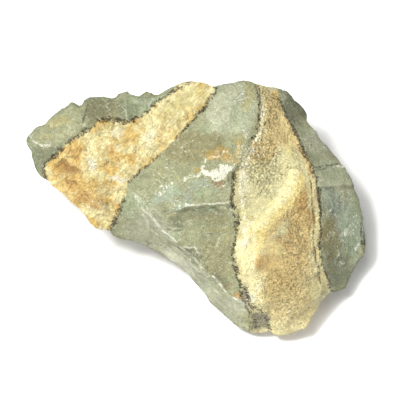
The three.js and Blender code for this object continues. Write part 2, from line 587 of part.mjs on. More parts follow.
const stone = buildCage();
refine(stone);
addRelief(stone, solidOf(stone).getAttribute('normal'));

const marl = new THREE.MeshStandardMaterial({
  color: MARL_COLOUR,
  roughness: MARL_ROUGHNESS,
  metalness: 0,
});
const nodule = new THREE.Mesh(solidOf(stone), marl);
nodule.name = 'nodule';
nodule.position.set(-BOX_CENTRE[0], -BOX_CENTRE[1], 0);

const group = new THREE.Group();
group.add(nodule);
export default group;
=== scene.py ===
"""Septarian nodule: the CAD stone's surface cut finer, roughened and painted, on a white table.

Measures in this script are millimetres and degrees unless noted otherwise. As in the CAD model, the
face frame has x to the right, y up across the broken face, and a height out of it.
"""
import math

import bpy
import numpy as np
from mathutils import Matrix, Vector
from mathutils.bvhtree import BVHTree
from mathutils.kdtree import KDTree


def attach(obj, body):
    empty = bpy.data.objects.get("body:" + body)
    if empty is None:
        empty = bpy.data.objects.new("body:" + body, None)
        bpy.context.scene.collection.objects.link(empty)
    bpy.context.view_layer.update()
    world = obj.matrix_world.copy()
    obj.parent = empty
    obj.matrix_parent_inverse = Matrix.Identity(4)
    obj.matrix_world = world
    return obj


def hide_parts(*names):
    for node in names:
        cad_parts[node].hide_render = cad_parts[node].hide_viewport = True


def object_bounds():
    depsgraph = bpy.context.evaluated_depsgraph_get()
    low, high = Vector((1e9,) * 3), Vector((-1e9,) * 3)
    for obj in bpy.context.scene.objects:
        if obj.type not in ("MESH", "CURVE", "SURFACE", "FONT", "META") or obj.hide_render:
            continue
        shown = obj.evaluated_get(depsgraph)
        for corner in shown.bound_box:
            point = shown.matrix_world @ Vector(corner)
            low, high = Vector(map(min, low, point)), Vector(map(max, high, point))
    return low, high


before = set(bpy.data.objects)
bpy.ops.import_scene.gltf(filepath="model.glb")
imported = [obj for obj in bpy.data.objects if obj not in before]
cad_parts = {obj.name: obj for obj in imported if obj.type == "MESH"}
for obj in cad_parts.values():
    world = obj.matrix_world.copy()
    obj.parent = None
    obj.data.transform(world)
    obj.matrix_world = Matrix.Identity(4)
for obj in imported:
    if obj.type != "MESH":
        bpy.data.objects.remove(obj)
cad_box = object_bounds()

# ---- Sizes shared with the CAD model ----

FACE_TILT = math.radians(18)  # lean of the broken face
FACE_RISE = 27.0  # middle of the broken face above the ground
BOX_CENTRE = (-1.3, 0.9)  # where the CAD model's origin lies on its drawing
MM = 0.001  # one millimetre in Blender's metres

# Borders of the veins, of the crust and of the raised plate on the broken face: x, y.
LEFT_VEIN_UPPER = [
    (-49, 9.3), (-50.1, 11.8), (-49.9, 14.4), (-48.3, 16), (-46.1, 17.4), (-44.2, 19.4), (-41.9, 21.6),
    (-39, 23.7), (-36.2, 25.3), (-33.9, 26.9), (-32.3, 28.5), (-29.4, 29), (-26.2, 28.5), (-23.4, 28.3),
    (-20.8, 29), (-18.6, 30.2), (-16.3, 32), (-14.1, 34.2), (-11.5, 35.7), (-8.6, 37.8),
]
LEFT_VEIN_LOWER = [
    (5.1, 39.4), (4.2, 37.1), (2.6, 34.6), (0.6, 32), (-1.6, 29.8), (-3.5, 27.5), (-5.8, 25), (-8.3, 22.1),
    (-10.9, 19.8), (-13.4, 17.3), (-16, 15), (-18.6, 12.8), (-21.1, 10.6), (-23, 8.6), (-23.7, 6.1),
    (-23.7, 3.8), (-25.3, 1.3), (-26.4, -1.3), (-27.5, -4.2), (-29.1, -6.7),
]
RIGHT_VEIN_LEFT = [
    (17.9, 40.3), (18.7, 37.4), (18.9, 34.2), (18.6, 30.7), (18.6, 27.5), (17.9, 24.3), (16.3, 21.8),
    (15.4, 19.5), (13.8, 17), (12.2, 14.4), (10.9, 11.5), (10.7, 8.3), (10.6, 5.4), (10.1, 2.9),
    (11.2, 0.3), (12.2, -3.2), (11.5, -6.7), (11, -10.6), (10.7, -14.4), (11.2, -17.9), (12.2, -21.1),
    (12.8, -24.3), (13.1, -27.2), (14.1, -29.8), (15.7, -32.6), (16.6, -35.5), (16, -39.4),
]
RIGHT_VEIN_RIGHT = [
    (24.6, 38.1), (25.3, 35.5), (26.6, 32.6), (27.8, 29.8), (29.4, 26.6), (31, 23.4), (32.6, 19.8),
    (34.2, 16.6), (35.7, 13.8), (37, 10.2), (37.4, 7.7), (37.8, 6.4), (38.2, 2.6), (38.6, -1.6),
    (38.6, -5.8), (38.2, -9.6), (38.4, -13.4), (39, -17), (40, -19.8), (41.3, -22.7), (42.2, -25.9),
]
CRUST = [
    (12.8, -24.3), (14.7, -25), (15.5, -28.2), (16.6, -31.2), (19.8, -32), (21.1, -34.9), (21.8, -37.1),
    (22.7, -39),
]
PLATE_FRONT = [
    (28.8, 12.8), (26.9, 8.6), (23.7, 4.2), (19.8, -0.3), (16, -4.8), (13.1, -8.3), (15, -8.6),
    (13.8, -12.8), (13.8, -17.3), (14.4, -21.1), (16, -25), (18.2, -28.8), (19.8, -30.7),
]
PLATE_BACK = [
    (20.5, -29.4), (19.2, -25.9), (18.2, -22.1), (17.3, -17.9), (17.9, -14.1), (20.5, -11.2), (23.7, -8),
    (26.6, -4.5), (29.1, -0.6), (31.4, 2.9), (33, 6.7), (33.6, 10.6),
]

# ---- Frames ----

LEAN, LEVEL = math.sin(FACE_TILT), math.cos(FACE_TILT)


def to_face(row):
    """Face-frame places of places in the row frame, both in millimetres."""
    x = row[:, 0] + BOX_CENTRE[0]
    y = row[:, 1] + BOX_CENTRE[1]
    z = row[:, 2] - FACE_RISE
    return np.stack([x, y * LEVEL + z * LEAN, z * LEVEL - y * LEAN], axis=1)


def to_row(x, y, height):
    """The row-frame place of one face-frame place, in metres."""
    row_y = y * LEVEL - height * LEAN - BOX_CENTRE[1]
    return Vector((x - BOX_CENTRE[0], row_y, y * LEAN + height * LEVEL + FACE_RISE)) * MM


# ---- Noise ----

NOISE_CELLS = 256
LAYER_SHIFT = 17.3  # keeps the layers of a wave from lining up
WAVE_GAIN = 1.6  # brings the peaks of a wave to about 1
TINY = 1e-12  # least length to divide by


def smooth_rise(low, high, value):
    """0 up to the low value, 1 from the high one, and a smooth step between them."""
    share = np.clip((value - low) / (high - low), 0, 1)
    return share * share * (3 - 2 * share)


def unit(vectors):
    return vectors / np.maximum(np.linalg.norm(vectors, axis=1, keepdims=True), TINY)


class Noise:
    """Repeatable unevenness in space: waves, and cells with random levels of their own."""

    def __init__(self, seed):
        draw = np.random.default_rng(seed)
        self.order = draw.permutation(NOISE_CELLS)
        self.directions = unit(draw.normal(size=(NOISE_CELLS, 3)))
        self.spots = draw.random((NOISE_CELLS, 3))
        self.levels = draw.random((NOISE_CELLS, 4))

    def ticket(self, corner):
        """The number under which a cell's random draws are kept."""
        mixed = self.order[corner[:, 0] % NOISE_CELLS]
        mixed = self.order[(mixed + corner[:, 1]) % NOISE_CELLS]
        return self.order[(mixed + corner[:, 2]) % NOISE_CELLS]

    def wave(self, places, length, layers=1):
        """Smooth noise from about -1 to 1, each further layer half as long and half as high."""
        total = np.zeros(len(places))
        for layer in range(layers):
            scaled = places * (2**layer / length) + LAYER_SHIFT * layer
            corner = np.floor(scaled).astype(int)
            inside = scaled - corner
            ease = inside**3 * (inside * (inside * 6 - 15) + 10)
            for step in np.ndindex(2, 2, 2):
                offset = inside - step
                slope = (self.directions[self.ticket(corner + step)] * offset).sum(1)
                total += slope * np.prod(np.where(step, ease, 1 - ease), axis=1) * WAVE_GAIN / 2**layer
        return total

    def shifts(self, one, other, length, layers=1):
        """Two waves side by side, as shifts in x and y."""
        return np.stack([self.wave(one, length, layers), self.wave(other, length, layers)], axis=1)

    def cells(self, places, size):
        """Distance to the nearest seed in cell sizes, its four random levels, and the offset from it."""
        scaled = places / size
        corner = np.floor(scaled).astype(int)
        nearest = np.full(len(places), 9.0)
        levels = np.zeros((len(places), 4))
        offsets = np.zeros((len(places), 3))
        for step in np.ndindex(3, 3, 3):
            cell = corner + np.array(step) - 1
            ticket = self.ticket(cell)
            offset = scaled - cell - self.spots[ticket]
            away = np.linalg.norm(offset, axis=1)
            closer = away < nearest
            nearest = np.where(closer, away, nearest)
            levels[closer] = self.levels[ticket[closer]]
            offsets[closer] = offset[closer]
        return nearest, levels, offsets * size


# ---- Mesh ----


def cad_surface(node):
    """The CAD node's places in millimetres and its triangles, with split corners joined again."""
    node.data.calc_loop_triangles()
    places = np.array([vertex.co for vertex in node.data.vertices])
    triangles = np.array([triangle.vertices[:] for triangle in node.data.loop_triangles])
    joined, numbers = np.unique(places, axis=0, return_inverse=True)
    return joined / MM, numbers.reshape(-1)[triangles]


def edges_of(triangles, count):
    """Unique edges, the number of each triangle's three edges, and the edges' keys."""
    pairs = np.stack([triangles, np.roll(triangles, -1, axis=1)], axis=2)
    keys = pairs.min(2).astype(np.int64) * count + pairs.max(2)
    unique, numbers = np.unique(keys, return_inverse=True)
    return np.stack([unique // count, unique % count], axis=1), numbers.reshape(-1, 3)


def triangle_crosses(places, triangles):
    """Each triangle's normal, as long as twice its area."""
    a, b, c = (places[triangles[:, i]] for i in range(3))
    return np.cross(b - a, c - a)


def vertex_normals(places, triangles):
    crosses = triangle_crosses(places, triangles)
    normals = np.zeros_like(places)
    for corner in range(3):
        np.add.at(normals, triangles[:, corner], crosses)
    return unit(normals)


def sharp_edges(places, triangles, angle):
    """True for each edge whose two triangles turn by more than the angle."""
    edges, numbers = edges_of(triangles, len(places))
    normals = unit(triangle_crosses(places, triangles))
    both = np.zeros((len(edges), 3))
    np.add.at(both, numbers.reshape(-1), np.repeat(normals, 3, axis=0))
    cosine = (both**2).sum(1) / 2 - 1
    return cosine < math.cos(math.radians(angle))


def quarters(a, b, c, ab, bc, ca):
    """The four triangles that one is cut into at the middles of its sides."""
    return [(a, ab, ca), (ab, b, bc), (ca, bc, c), (ab, bc, ca)]


def stacked(parts):
    return [np.stack(part, axis=1) for part in parts]


def smooth_split(places, triangles, sharp):
    """One step of Loop's subdivision. Sharp edges and their ends stay creases."""
    edges, numbers = edges_of(triangles, len(places))
    count = len(places)
    ends = places[edges]
    opposite = np.zeros((len(edges), 3))
    np.add.at(opposite, numbers.reshape(-1), places[np.roll(triangles, 1, axis=1)].reshape(-1, 3))
    middles = np.where(sharp[:, None], ends.mean(1), ends.sum(1) * 3 / 8 + opposite / 8)

    def gather(mask):
        total = np.zeros((count, 3))
        number = np.zeros(count)
        for one, other in ((0, 1), (1, 0)):
            np.add.at(total, edges[mask, one], places[edges[mask, other]])
            np.add.at(number, edges[mask, one], 1)
        return total, number

    around, valence = gather(np.ones(len(edges), bool))
    along, creases = gather(sharp)
    weight = (5 / 8 - (3 / 8 + np.cos(2 * np.pi / valence) / 4) ** 2) / valence
    moved = places * (1 - valence * weight)[:, None] + around * weight[:, None]
    moved = np.where((creases == 2)[:, None], places * 3 / 4 + along / 8, moved)
    moved = np.where((creases > 2)[:, None], places, moved)
    parts = stacked(quarters(*triangles.T, *(numbers.T + count)))
    return np.concatenate([moved, middles]), np.concatenate(parts)


def cut_long(places, triangles, limits):
    """Cuts the edges that are longer than the limit at either end."""
    edges, numbers = edges_of(triangles, len(places))
    ends = places[edges]
    long = np.linalg.norm(ends[:, 0] - ends[:, 1], axis=1) > limits[edges].min(1)
    new = np.cumsum(long) - 1 + len(places)
    cut = long[numbers]
    # Turn each triangle so that its cut edges come first.
    turn = np.select([cut.sum(1) == 1, cut.sum(1) == 2], [cut.argmax(1), (cut.argmin(1) + 1) % 3])
    order = (turn[:, None] + np.arange(3)) % 3
    triangles = np.take_along_axis(triangles, order, axis=1)
    numbers = np.take_along_axis(new[numbers], order, axis=1)
    parts = [triangles[cut.sum(1) == 0]]
    ways = {
        1: lambda a, b, c, ab, bc, ca: [(a, ab, c), (ab, b, c)],
        2: lambda a, b, c, ab, bc, ca: [(ab, b, bc), (a, ab, bc), (a, bc, c)],
        3: quarters,
    }
    for count, way in ways.items():
        chosen = cut.sum(1) == count
        parts += stacked(way(*triangles[chosen].T, *numbers[chosen].T))
    limits = np.concatenate([limits, limits[edges[long]].min(1)])
    return np.concatenate([places, ends[long].mean(1)]), np.concatenate(parts), limits


def relaxed(places, triangles, shares, rounds):
    """Draws each place towards the middle of its neighbours, by its own share, several times."""
    edges, _ = edges_of(triangles, len(places))
    one, other = np.concatenate([edges, edges[:, ::-1]]).T
    number = np.bincount(one, minlength=len(places))
    for _ in range(rounds):
        sums = [np.bincount(one, places[other, axis], len(places)) for axis in range(3)]
        places = places + (np.stack(sums, axis=1) / number[:, None] - places) * shares[:, None]
    return places


# ---- Places on the face ----

BLOT_EDGE = (0.55, 1.1)  # shares of a blot's reach where it starts to fade and where it ends


def line_distance(line, spots):
    """Distance from each (x, y) spot to a line of points."""
    nearest = np.full(len(spots), 1e9)
    for (ax, ay), (bx, by) in zip(line, line[1:]):
        dx, dy = bx - ax, by - ay
        x, y = spots[:, 0] - ax, spots[:, 1] - ay
        along = np.clip((x * dx + y * dy) / (dx * dx + dy * dy), 0, 1)
        nearest = np.minimum(nearest, np.hypot(x - along * dx, y - along * dy))
    return nearest


def inside(outline, spots):
    """True for each spot that a closed outline goes around."""
    x, y = spots[:, 0], spots[:, 1]
    result = np.zeros(len(spots), bool)
    for (ax, ay), (bx, by) in zip(outline, outline[1:] + outline[:1]):
        if ay != by:
            result ^= ((ay > y) != (by > y)) & (x < ax + (y - ay) / (by - ay) * (bx - ax))
    return result


def signed_distance(one, other, ends, spots):
    """Distance inside the band between two borders, less than 0 outside. ends close the band."""
    away = np.minimum(line_distance(one, spots), line_distance(other, spots))
    outline = one + ends[:1] + other + ends[1:]
    return np.where(inside(outline, spots), away, -away)


def turned(spots, x, y, turn=0):
    """Distances from (x, y) along a direction and across it."""
    cosine, sine = math.cos(math.radians(turn)), math.sin(math.radians(turn))
    right, up = spots[:, 0] - x, spots[:, 1] - y
    return right * cosine + up * sine, up * cosine - right * sine


def blot_share(spots, blots):
    """1 inside the blots, falling to 0 at their soft edges."""
    share = np.zeros(len(spots))
    for x, y, long, wide, *turn in blots:
        along, side = turned(spots, x, y, *turn)
        share = np.maximum(share, 1 - smooth_rise(*BLOT_EDGE, np.hypot(along / long, side / wide)))
    return share


def blended(one, other, share):
    """one, with a share of the other mixed in."""
    if np.ndim(one) > 1:
        share = share[:, None]
    return one + (other - one) * share


# ---- The stone's fine surface ----

CREASE_ANGLE = 24  # edges sharper than this stay crisp
CALCITE_EDGE, MARL_EDGE, HIDDEN_EDGE = 0.52, 0.56, 1.9  # longest triangle sides
MOST_CUTS = 6  # rounds of cutting the sides that are longer
HIDDEN_SOFTNESS, FACE_SOFTNESS = 0.12, 0.55  # smoothing of the hidden side and of the broken face
SOFT_ROUNDS = 16
DRUSE_SOFTNESS = 0.5  # further smoothing inside the right vein, clear of its plate
DRUSE_ROUNDS = 50
# The bare parts of the raised plate, as blots.
SMOOTH_PLATE = [(26.9, 5.8, 6.4, 3.8, 48), (18.6, -4.5, 9.6, 4.5, 55), (15, -14.7, 3.8, 8.3)]
FACE_OUT = np.array([0, -LEAN, LEVEL])
VEIN_TAPER = 0.2  # each border closes in by this share of the depth below the face
TAPER_FREE = 3.0  # depth at which the taper starts
WAVER = 0.35  # unevenness of the borders
DEEP_WAVER = 0.16  # more of it for each millimetre below the face
EDGE_BAND = (0.3, 2.0)  # distances from the rim between which the painted rim shade fades out


def vein_depths(face):
    """How far each place lies inside the left vein and inside the right one, less than 0 outside."""
    left = signed_distance(LEFT_VEIN_UPPER, LEFT_VEIN_LOWER, [(-2, 60), (-60, -20)], face)
    right = signed_distance(RIGHT_VEIN_LEFT, RIGHT_VEIN_RIGHT[::-1], [(30, -60), (21, 60)], face)
    return left, right


def facing(surface, triangles):
    """1 on the broken face, 0 on the hidden side."""
    return smooth_rise(-0.12, 0.12, vertex_normals(surface, triangles) @ FACE_OUT)


surface, triangles = cad_surface(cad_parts["nodule"])
cad_face = BVHTree.FromPolygons(to_face(surface).tolist(), triangles.tolist())
surface, triangles = smooth_split(surface, triangles, sharp_edges(surface, triangles, CREASE_ANGLE))
on_vein = np.maximum(*vein_depths(to_face(surface))) > -0.5
on_face = facing(surface, triangles) > 0.5
limits = np.select([on_face & on_vein, on_face], [CALCITE_EDGE, MARL_EDGE], HIDDEN_EDGE)
for _ in range(MOST_CUTS):
    surface, triangles, limits = cut_long(surface, triangles, limits)
crisp = edges_of(triangles, len(surface))[0][sharp_edges(surface, triangles, CREASE_ANGLE)]
softness = HIDDEN_SOFTNESS + (FACE_SOFTNESS - HIDDEN_SOFTNESS) * facing(surface, triangles)
softness[crisp] = 0
surface = relaxed(surface, triangles, softness, SOFT_ROUNDS)
druse = smooth_rise(0.3, 2.5, vein_depths(to_face(surface))[1]) * facing(surface, triangles)
plate_edge = line_distance(PLATE_FRONT[:8], to_face(surface))
druse *= DRUSE_SOFTNESS * smooth_rise(0.6, 2.6, plate_edge)
surface = relaxed(surface, triangles, druse, DRUSE_ROUNDS)

face = to_face(surface)
normals = vertex_normals(surface, triangles)
front = facing(surface, triangles)
# The height of the broken face over each place, and how deep below it the place is.
above = [cad_face.ray_cast(Vector((x, y, 200)), Vector((0, 0, -1)))[0] for x, y, _ in face]
top = np.array([h if hit is None else hit.z for hit, h in zip(above, face[:, 2])])
below = np.maximum(top - face[:, 2] - TAPER_FREE, 0) * (1 - front)

hidden = surface[front < 0.5]
hidden_side = KDTree(len(hidden))
for number, place in enumerate(hidden):
    hidden_side.insert(place, number)
hidden_side.balance()
from_rim = np.array([hidden_side.find(place)[2] for place in surface])
rim_shade_share = 1 - smooth_rise(*EDGE_BAND, from_rim)

swirl = Noise(3)
spots = face[:, :2] + WAVER * swirl.shifts(surface, surface + 40, 2.2, 2)
spots += (DEEP_WAVER * below)[:, None] * swirl.shifts(surface, surface + 90, 15)
left_vein, right_vein = (depth - VEIN_TAPER * below for depth in vein_depths(spots))
border = np.maximum(left_vein, right_vein)
calcite = smooth_rise(-0.1, 0.2, border)
on_left = left_vein > right_vein

# ---- Marks: stains, streaks, specks and some painted shade ----

COLOURS = {
    "marl": (174, 176, 138), "grey": (181, 183, 157), "pale": (204, 207, 174), "green": (170, 184, 145),
    "olive": (160, 153, 110), "dark": (122, 126, 100), "blue": (168, 178, 162), "amber": (192, 164, 92),
    "ochre": (188, 176, 114), "brick": (176, 128, 92), "black": (44, 36, 26), "crust": (150, 146, 120),
    "plate": (240, 222, 150), "cream": (252, 241, 184), "chalk": (252, 251, 232), "white": (285, 283, 262),
    "honey": (238, 204, 126), "rust": (208, 166, 98), "umber": (152, 112, 64), "straw": (232, 216, 156),
    "druse": (216, 210, 162), "tan": (206, 182, 124), "sand": (218, 207, 148), "moss": (184, 180, 132),
    "mist": (184, 198, 172),
}

# Stains, and on the marl some painted shade and a painted highlight: colour, strength, soft-edged blots. A
# blot: x, y, half length, half width, and its turn if any.
MARL_STAINS_AND_SHADE = [
    # left block, and the shade along the long ridge
    ("marl", 0.7, [(-45.4, 26.2, 12.8, 8.3, 25)]),
    ("ochre", 0.5, [(-44.8, 27.8, 4.8, 1.6, 17), (-49.6, 22.7, 2.9, 1, 20)]),
    ("olive", 0.95, [(-31.4, 31.4, 6.4, 4.2, 5)]),
    ("dark", 0.2, [(-18.6, -3.8, 10.9, 4.5, -40), (-2.6, -15.4, 6.4, 3.8, -40)]),
    ("dark", 0.6, [
        (-22.7, 31.7, 4.8, 4.2), (-53.1, 16, 4.2, 6.4, -40), (-46.7, 18.6, 3.8, 2.6, 30),
        (-32, 32.6, 7, 4.8, 5),
    ]),
    ("grey", 0.6, [(-17, 34.2, 3.8, 2.2, -8)]),
    ("green", 0.6, [(-31.7, 35.8, 1.9, 1), (-54.4, 19.5, 1.6, 3.8)]),
    # upper middle of the face
    ("pale", 0.85, [(10.2, 32.6, 10.2, 13.4)]),
    ("green", 0.4, [(5.8, 37.8, 3.2, 2.2), (12.8, 31.4, 4.5, 6.4)]),
    ("olive", 0.8, [(-4.8, 19.8, 8.3, 6.4, 30), (3.8, 21.8, 6.4, 2.9)]),
    ("marl", 0.7, [(9.6, 22.4, 5.1, 3.2)]),
    ("ochre", 0.55, [(15.4, 36.5, 1.9, 6.4), (12.8, 22.4, 2.9, 2.6)]),
    ("amber", 0.9, [(5.8, 17.9, 6.4, 2.9)]),
    ("honey", 0.5, [(10.2, 16, 2.9, 1.3), (3.8, 16.6, 2.6, 1.3), (12.2, 19.8, 1.3, 2.6)]),
    ("amber", 0.5, [(0, 12.5, 2.9, 1)]),
    ("ochre", 0.45, [(0.6, 12.8, 3.5, 1, -8)]),
    ("brick", 0.45, [(6.1, 9, 1.9, 1.3, -20)]),
    ("blue", 0.5, [(0, 7.4, 5.1, 1.9), (-13.4, 3.2, 2.2, 2.6), (-4.5, 4.2, 1.9, 3.8)]),
    ("mist", 0.6, [(-10.2, 5.1, 5.1, 2.9, 35), (-5.8, 1.3, 3.2, 1.9)]),
    # below the ledge: painted shade under its step and at its left end first, then stains
    ("dark", 0.55, [(1, -1.3, 10.2, 2.2, 4)]),
    ("dark", 0.65, [(-8, -4.2, 3.8, 3.5, -30)]),
    ("marl", 0.7, [(5.1, -9.6, 7.7, 9.6)]),
    ("dark", 0.3, [(4.5, -5.8, 7, 6.4)]),
    ("olive", 0.5, [(4.5, -16.6, 8.3, 9), (2.6, -2.6, 7, 1.9)]),
    ("ochre", 0.35, [(5.8, -6.1, 6.4, 1.3, 2), (9, -9, 1.9, 3.2)]),
    ("dark", 0.5, [(-1.9, -14.7, 3.5, 1.9, -40), (6.1, -22.1, 4.5, 2.2, -35)]),
    ("umber", 0.35, [(9.3, -24, 1.6, 1.9)]),
    ("rust", 0.7, [(11.8, -27.2, 1.6, 1.6)]),
    # lower left face
    ("green", 0.5, [(-23, 1.6, 5.8, 4.5, -45)]),
    ("grey", 0.6, [(-16, -8, 11.5, 8.3, -40)]),
    ("pale", 1.0, [(-2.6, -21.1, 12.8, 5.1, -42)]),
    ("chalk", 0.3, [(-6.4, -16.6, 7.7, 2.9, -42), (11.5, -30.7, 5.1, 2.6, -40)]),
    ("pale", 0.5, [(8.3, -32.6, 10.9, 3.2, -42)]),
    ("ochre", 0.3, [(13.4, -34.6, 3.8, 1.9, -40)]),
    ("grey", 0.6, [(-2.6, -20.5, 7, 3.8, -42), (8.3, -31.7, 7, 2.6, -42)]),
    # right block
    # painted shade on the upper facet that faces away from the light, and a small painted highlight at its
    # upper left
    ("dark", 0.75, [(29.8, 32.6, 5.8, 6.1)]),
    ("grey", 0.7, [(26.6, 36.8, 1.9, 1.3)]),
    ("dark", 0.15, [(37.8, 21.8, 6.4, 7.7, -55)]),
    ("pale", 0.6, [(43.2, 9.6, 10.9, 7.7), (37.8, 23, 5.8, 7.7, -55)]),
    ("mist", 0.75, [(47.4, -8, 6.4, 12.2), (43.2, -16.6, 6.4, 9.6)]),
    ("green", 0.3, [(43.2, 12.2, 7.7, 2.9, -5)]),
    ("blue", 0.8, [(42.2, 2.2, 3.2, 6.4, 15)]),
    ("dark", 0.3, [(42.6, 2.2, 3.8, 5.8, 10)]),
    ("olive", 1.0, [(41.6, -10.2, 3.2, 10.9)]),
    ("green", 0.5, [(48, -9.6, 3.5, 8.3), (49.6, 1.6, 1.9, 5.8, -10)]),
    ("olive", 0.45, [(44.2, -18.6, 5.1, 8.3)]),
    ("dark", 0.5, [(41.3, -9.6, 2.6, 9), (44.2, -19.2, 4.5, 6.4)]),
    ("amber", 0.22, [(40.6, -7, 1.9, 5.1)]),
]
CALCITE_STAINS = [
    # left vein, its lower left end first
    ("honey", 0.7, [(-42.9, 16.6, 7.7, 5.8, 40), (-39, 6.4, 8.3, 6.4, -35)]),
    ("cream", 0.75, [(-35.8, 13.8, 3.2, 4.8, 10), (-32, 23, 5.1, 2.6, 20), (-17.9, 19.2, 5.1, 2.6, 50)]),
    ("rust", 0.7, [
        (-42.9, 13.4, 5.1, 2.6, -15), (-40, 18.2, 2.6, 1.9, 45), (-38.4, 4.2, 2.2, 2.9, -30),
        (-33.3, 0, 2.6, 1.9, -30),
    ]),
    ("umber", 0.25, [(-40.3, 12.2, 4.5, 3.8, -15), (-32, 1.3, 4.5, 3.8, -30)]),
    ("umber", 0.45, [(-41.3, 13.8, 3.2, 1.6, -20)]),
    ("honey", 0.7, [
        (-38.7, 9.6, 3.2, 2.9), (-29.8, 13.4, 4.2, 1.9, 10), (-22.1, 22.4, 3.8, 2.2),
        (-22.4, 17, 4.2, 2.6),
    ]),
    ("chalk", 0.7, [(-33.9, 14.7, 1.3, 2.6, 10), (-26.6, 9.9, 3.2, 1.6, -15)]),
    ("chalk", 0.4, [(-26.6, 24.6, 2.6, 2.6)]),
    ("tan", 0.7, [(-30.4, 7, 3.5, 3.2, -30), (-28.8, -1.3, 1.9, 3.8)]),
    ("rust", 0.6, [(-28.5, 19.2, 1.6, 2.2), (-34.6, 2.6, 4.5, 2.9, -30), (-41, 8.3, 2.9, 2.2, -30)]),
    ("cream", 0.8, [(-25.9, 4.8, 2.6, 3.8), (-33.3, -1.3, 6.4, 1.9, -30)]),
    ("honey", 0.7, [(-17.3, 25.6, 2.6, 2.2)]),
    ("cream", 1.0, [(-16.3, 21.8, 3.8, 5.8, -10), (-15, 27.5, 3.8, 3.8, 30)]),
    ("chalk", 0.35, [(-16, 22.4, 2.2, 3.8, -10), (-34.6, 16.6, 2.2, 1.9)]),
    ("sand", 0.8, [(-9, 30.1, 5.1, 5.1, 45)]),
    ("rust", 0.5, [(-12.2, 24, 1.3, 3.8, 10)]),
    ("cream", 0.7, [(-3.2, 36.5, 5.8, 3.5, 60), (-5.1, 30.7, 2.9, 2.2, 45), (-8.3, 26.9, 2.6, 1.9, 45)]),
    ("sand", 0.7, [(-6.1, 34.6, 2.2, 2.2), (1.3, 35.8, 1.6, 4.8, -10), (-1.3, 37.8, 3.2, 1.9)]),
    # right vein: granular top, druse, raised plate, tan strip
    ("tan", 0.8, [(23.4, 28.8, 4.5, 10.9, 5), (20.5, 19.2, 5.8, 4.2, 20), (27.5, 22.4, 2.6, 5.8, 20)]),
    ("straw", 0.6, [(20.5, 38.4, 1.9, 1.6), (27.2, 26.2, 1.9, 4.5, 20)]),
    ("honey", 0.9, [(24, 36.8, 1.3, 1.9)]),
    ("rust", 0.35, [(31, 21.8, 1.9, 8.3, 22)]),
    ("sand", 0.8, [(28.5, 19.8, 2.2, 3.2)]),
    ("druse", 0.8, [(19.8, 8.3, 8.3, 8.3, 30)]),
    ("tan", 0.95, [(32, -4.5, 4.8, 19.2, 5), (25.6, -17.6, 9, 10.9, -30)]),
    ("tan", 0.75, [(28.2, -28.8, 10.2, 10.2)]),
    ("cream", 0.95, [(15, -13.4, 3.8, 10.9), (17.9, -25, 3.2, 7, -15)]),
    ("druse", 0.9, [(20.5, 4.5, 5.1, 3.8, 50), (16, 0.6, 2.9, 3.2, 50)]),
    ("chalk", 0.6, [(27.5, 5.8, 5.8, 2.6, 52), (17.9, -5.1, 3.8, 2.2, 52)]),
    ("chalk", 0.9, [(16, -17.3, 1.6, 5.1), (18.2, -26.6, 1.6, 3.8, -15), (14.4, -9.6, 1.6, 3.8)]),
    ("rust", 0.6, [(18.2, -15.4, 1.3, 3.2), (32, 3.2, 2.2, 5.8, 20)]),
    ("tan", 0.8, [(33.9, -1.6, 2.2, 5.8), (30.7, -5.8, 3.2, 4.5, -30)]),
    ("umber", 0.3, [(33.6, -0.6, 2.2, 5.8), (27.5, -9.6, 3.8, 3.8, -30), (19.8, -16.6, 2.2, 4.5)]),
    ("straw", 0.5, [(28.2, -34.6, 9.6, 6.4, 10), (35.8, -26.2, 3.8, 5.1, -30)]),
    ("cream", 0.45, [(26.9, -37.8, 8.3, 3.2, 10), (37.8, -26.2, 1.9, 3.8, -30)]),
    ("cream", 0.8, [(30.1, 9, 1.9, 2.9, -30)]),
    ("sand", 0.5, [(25, -12.2, 2.6, 2.6), (19.8, -28.8, 2.6, 4.5), (37.8, -23.7, 2.6, 4.5, -30)]),
]
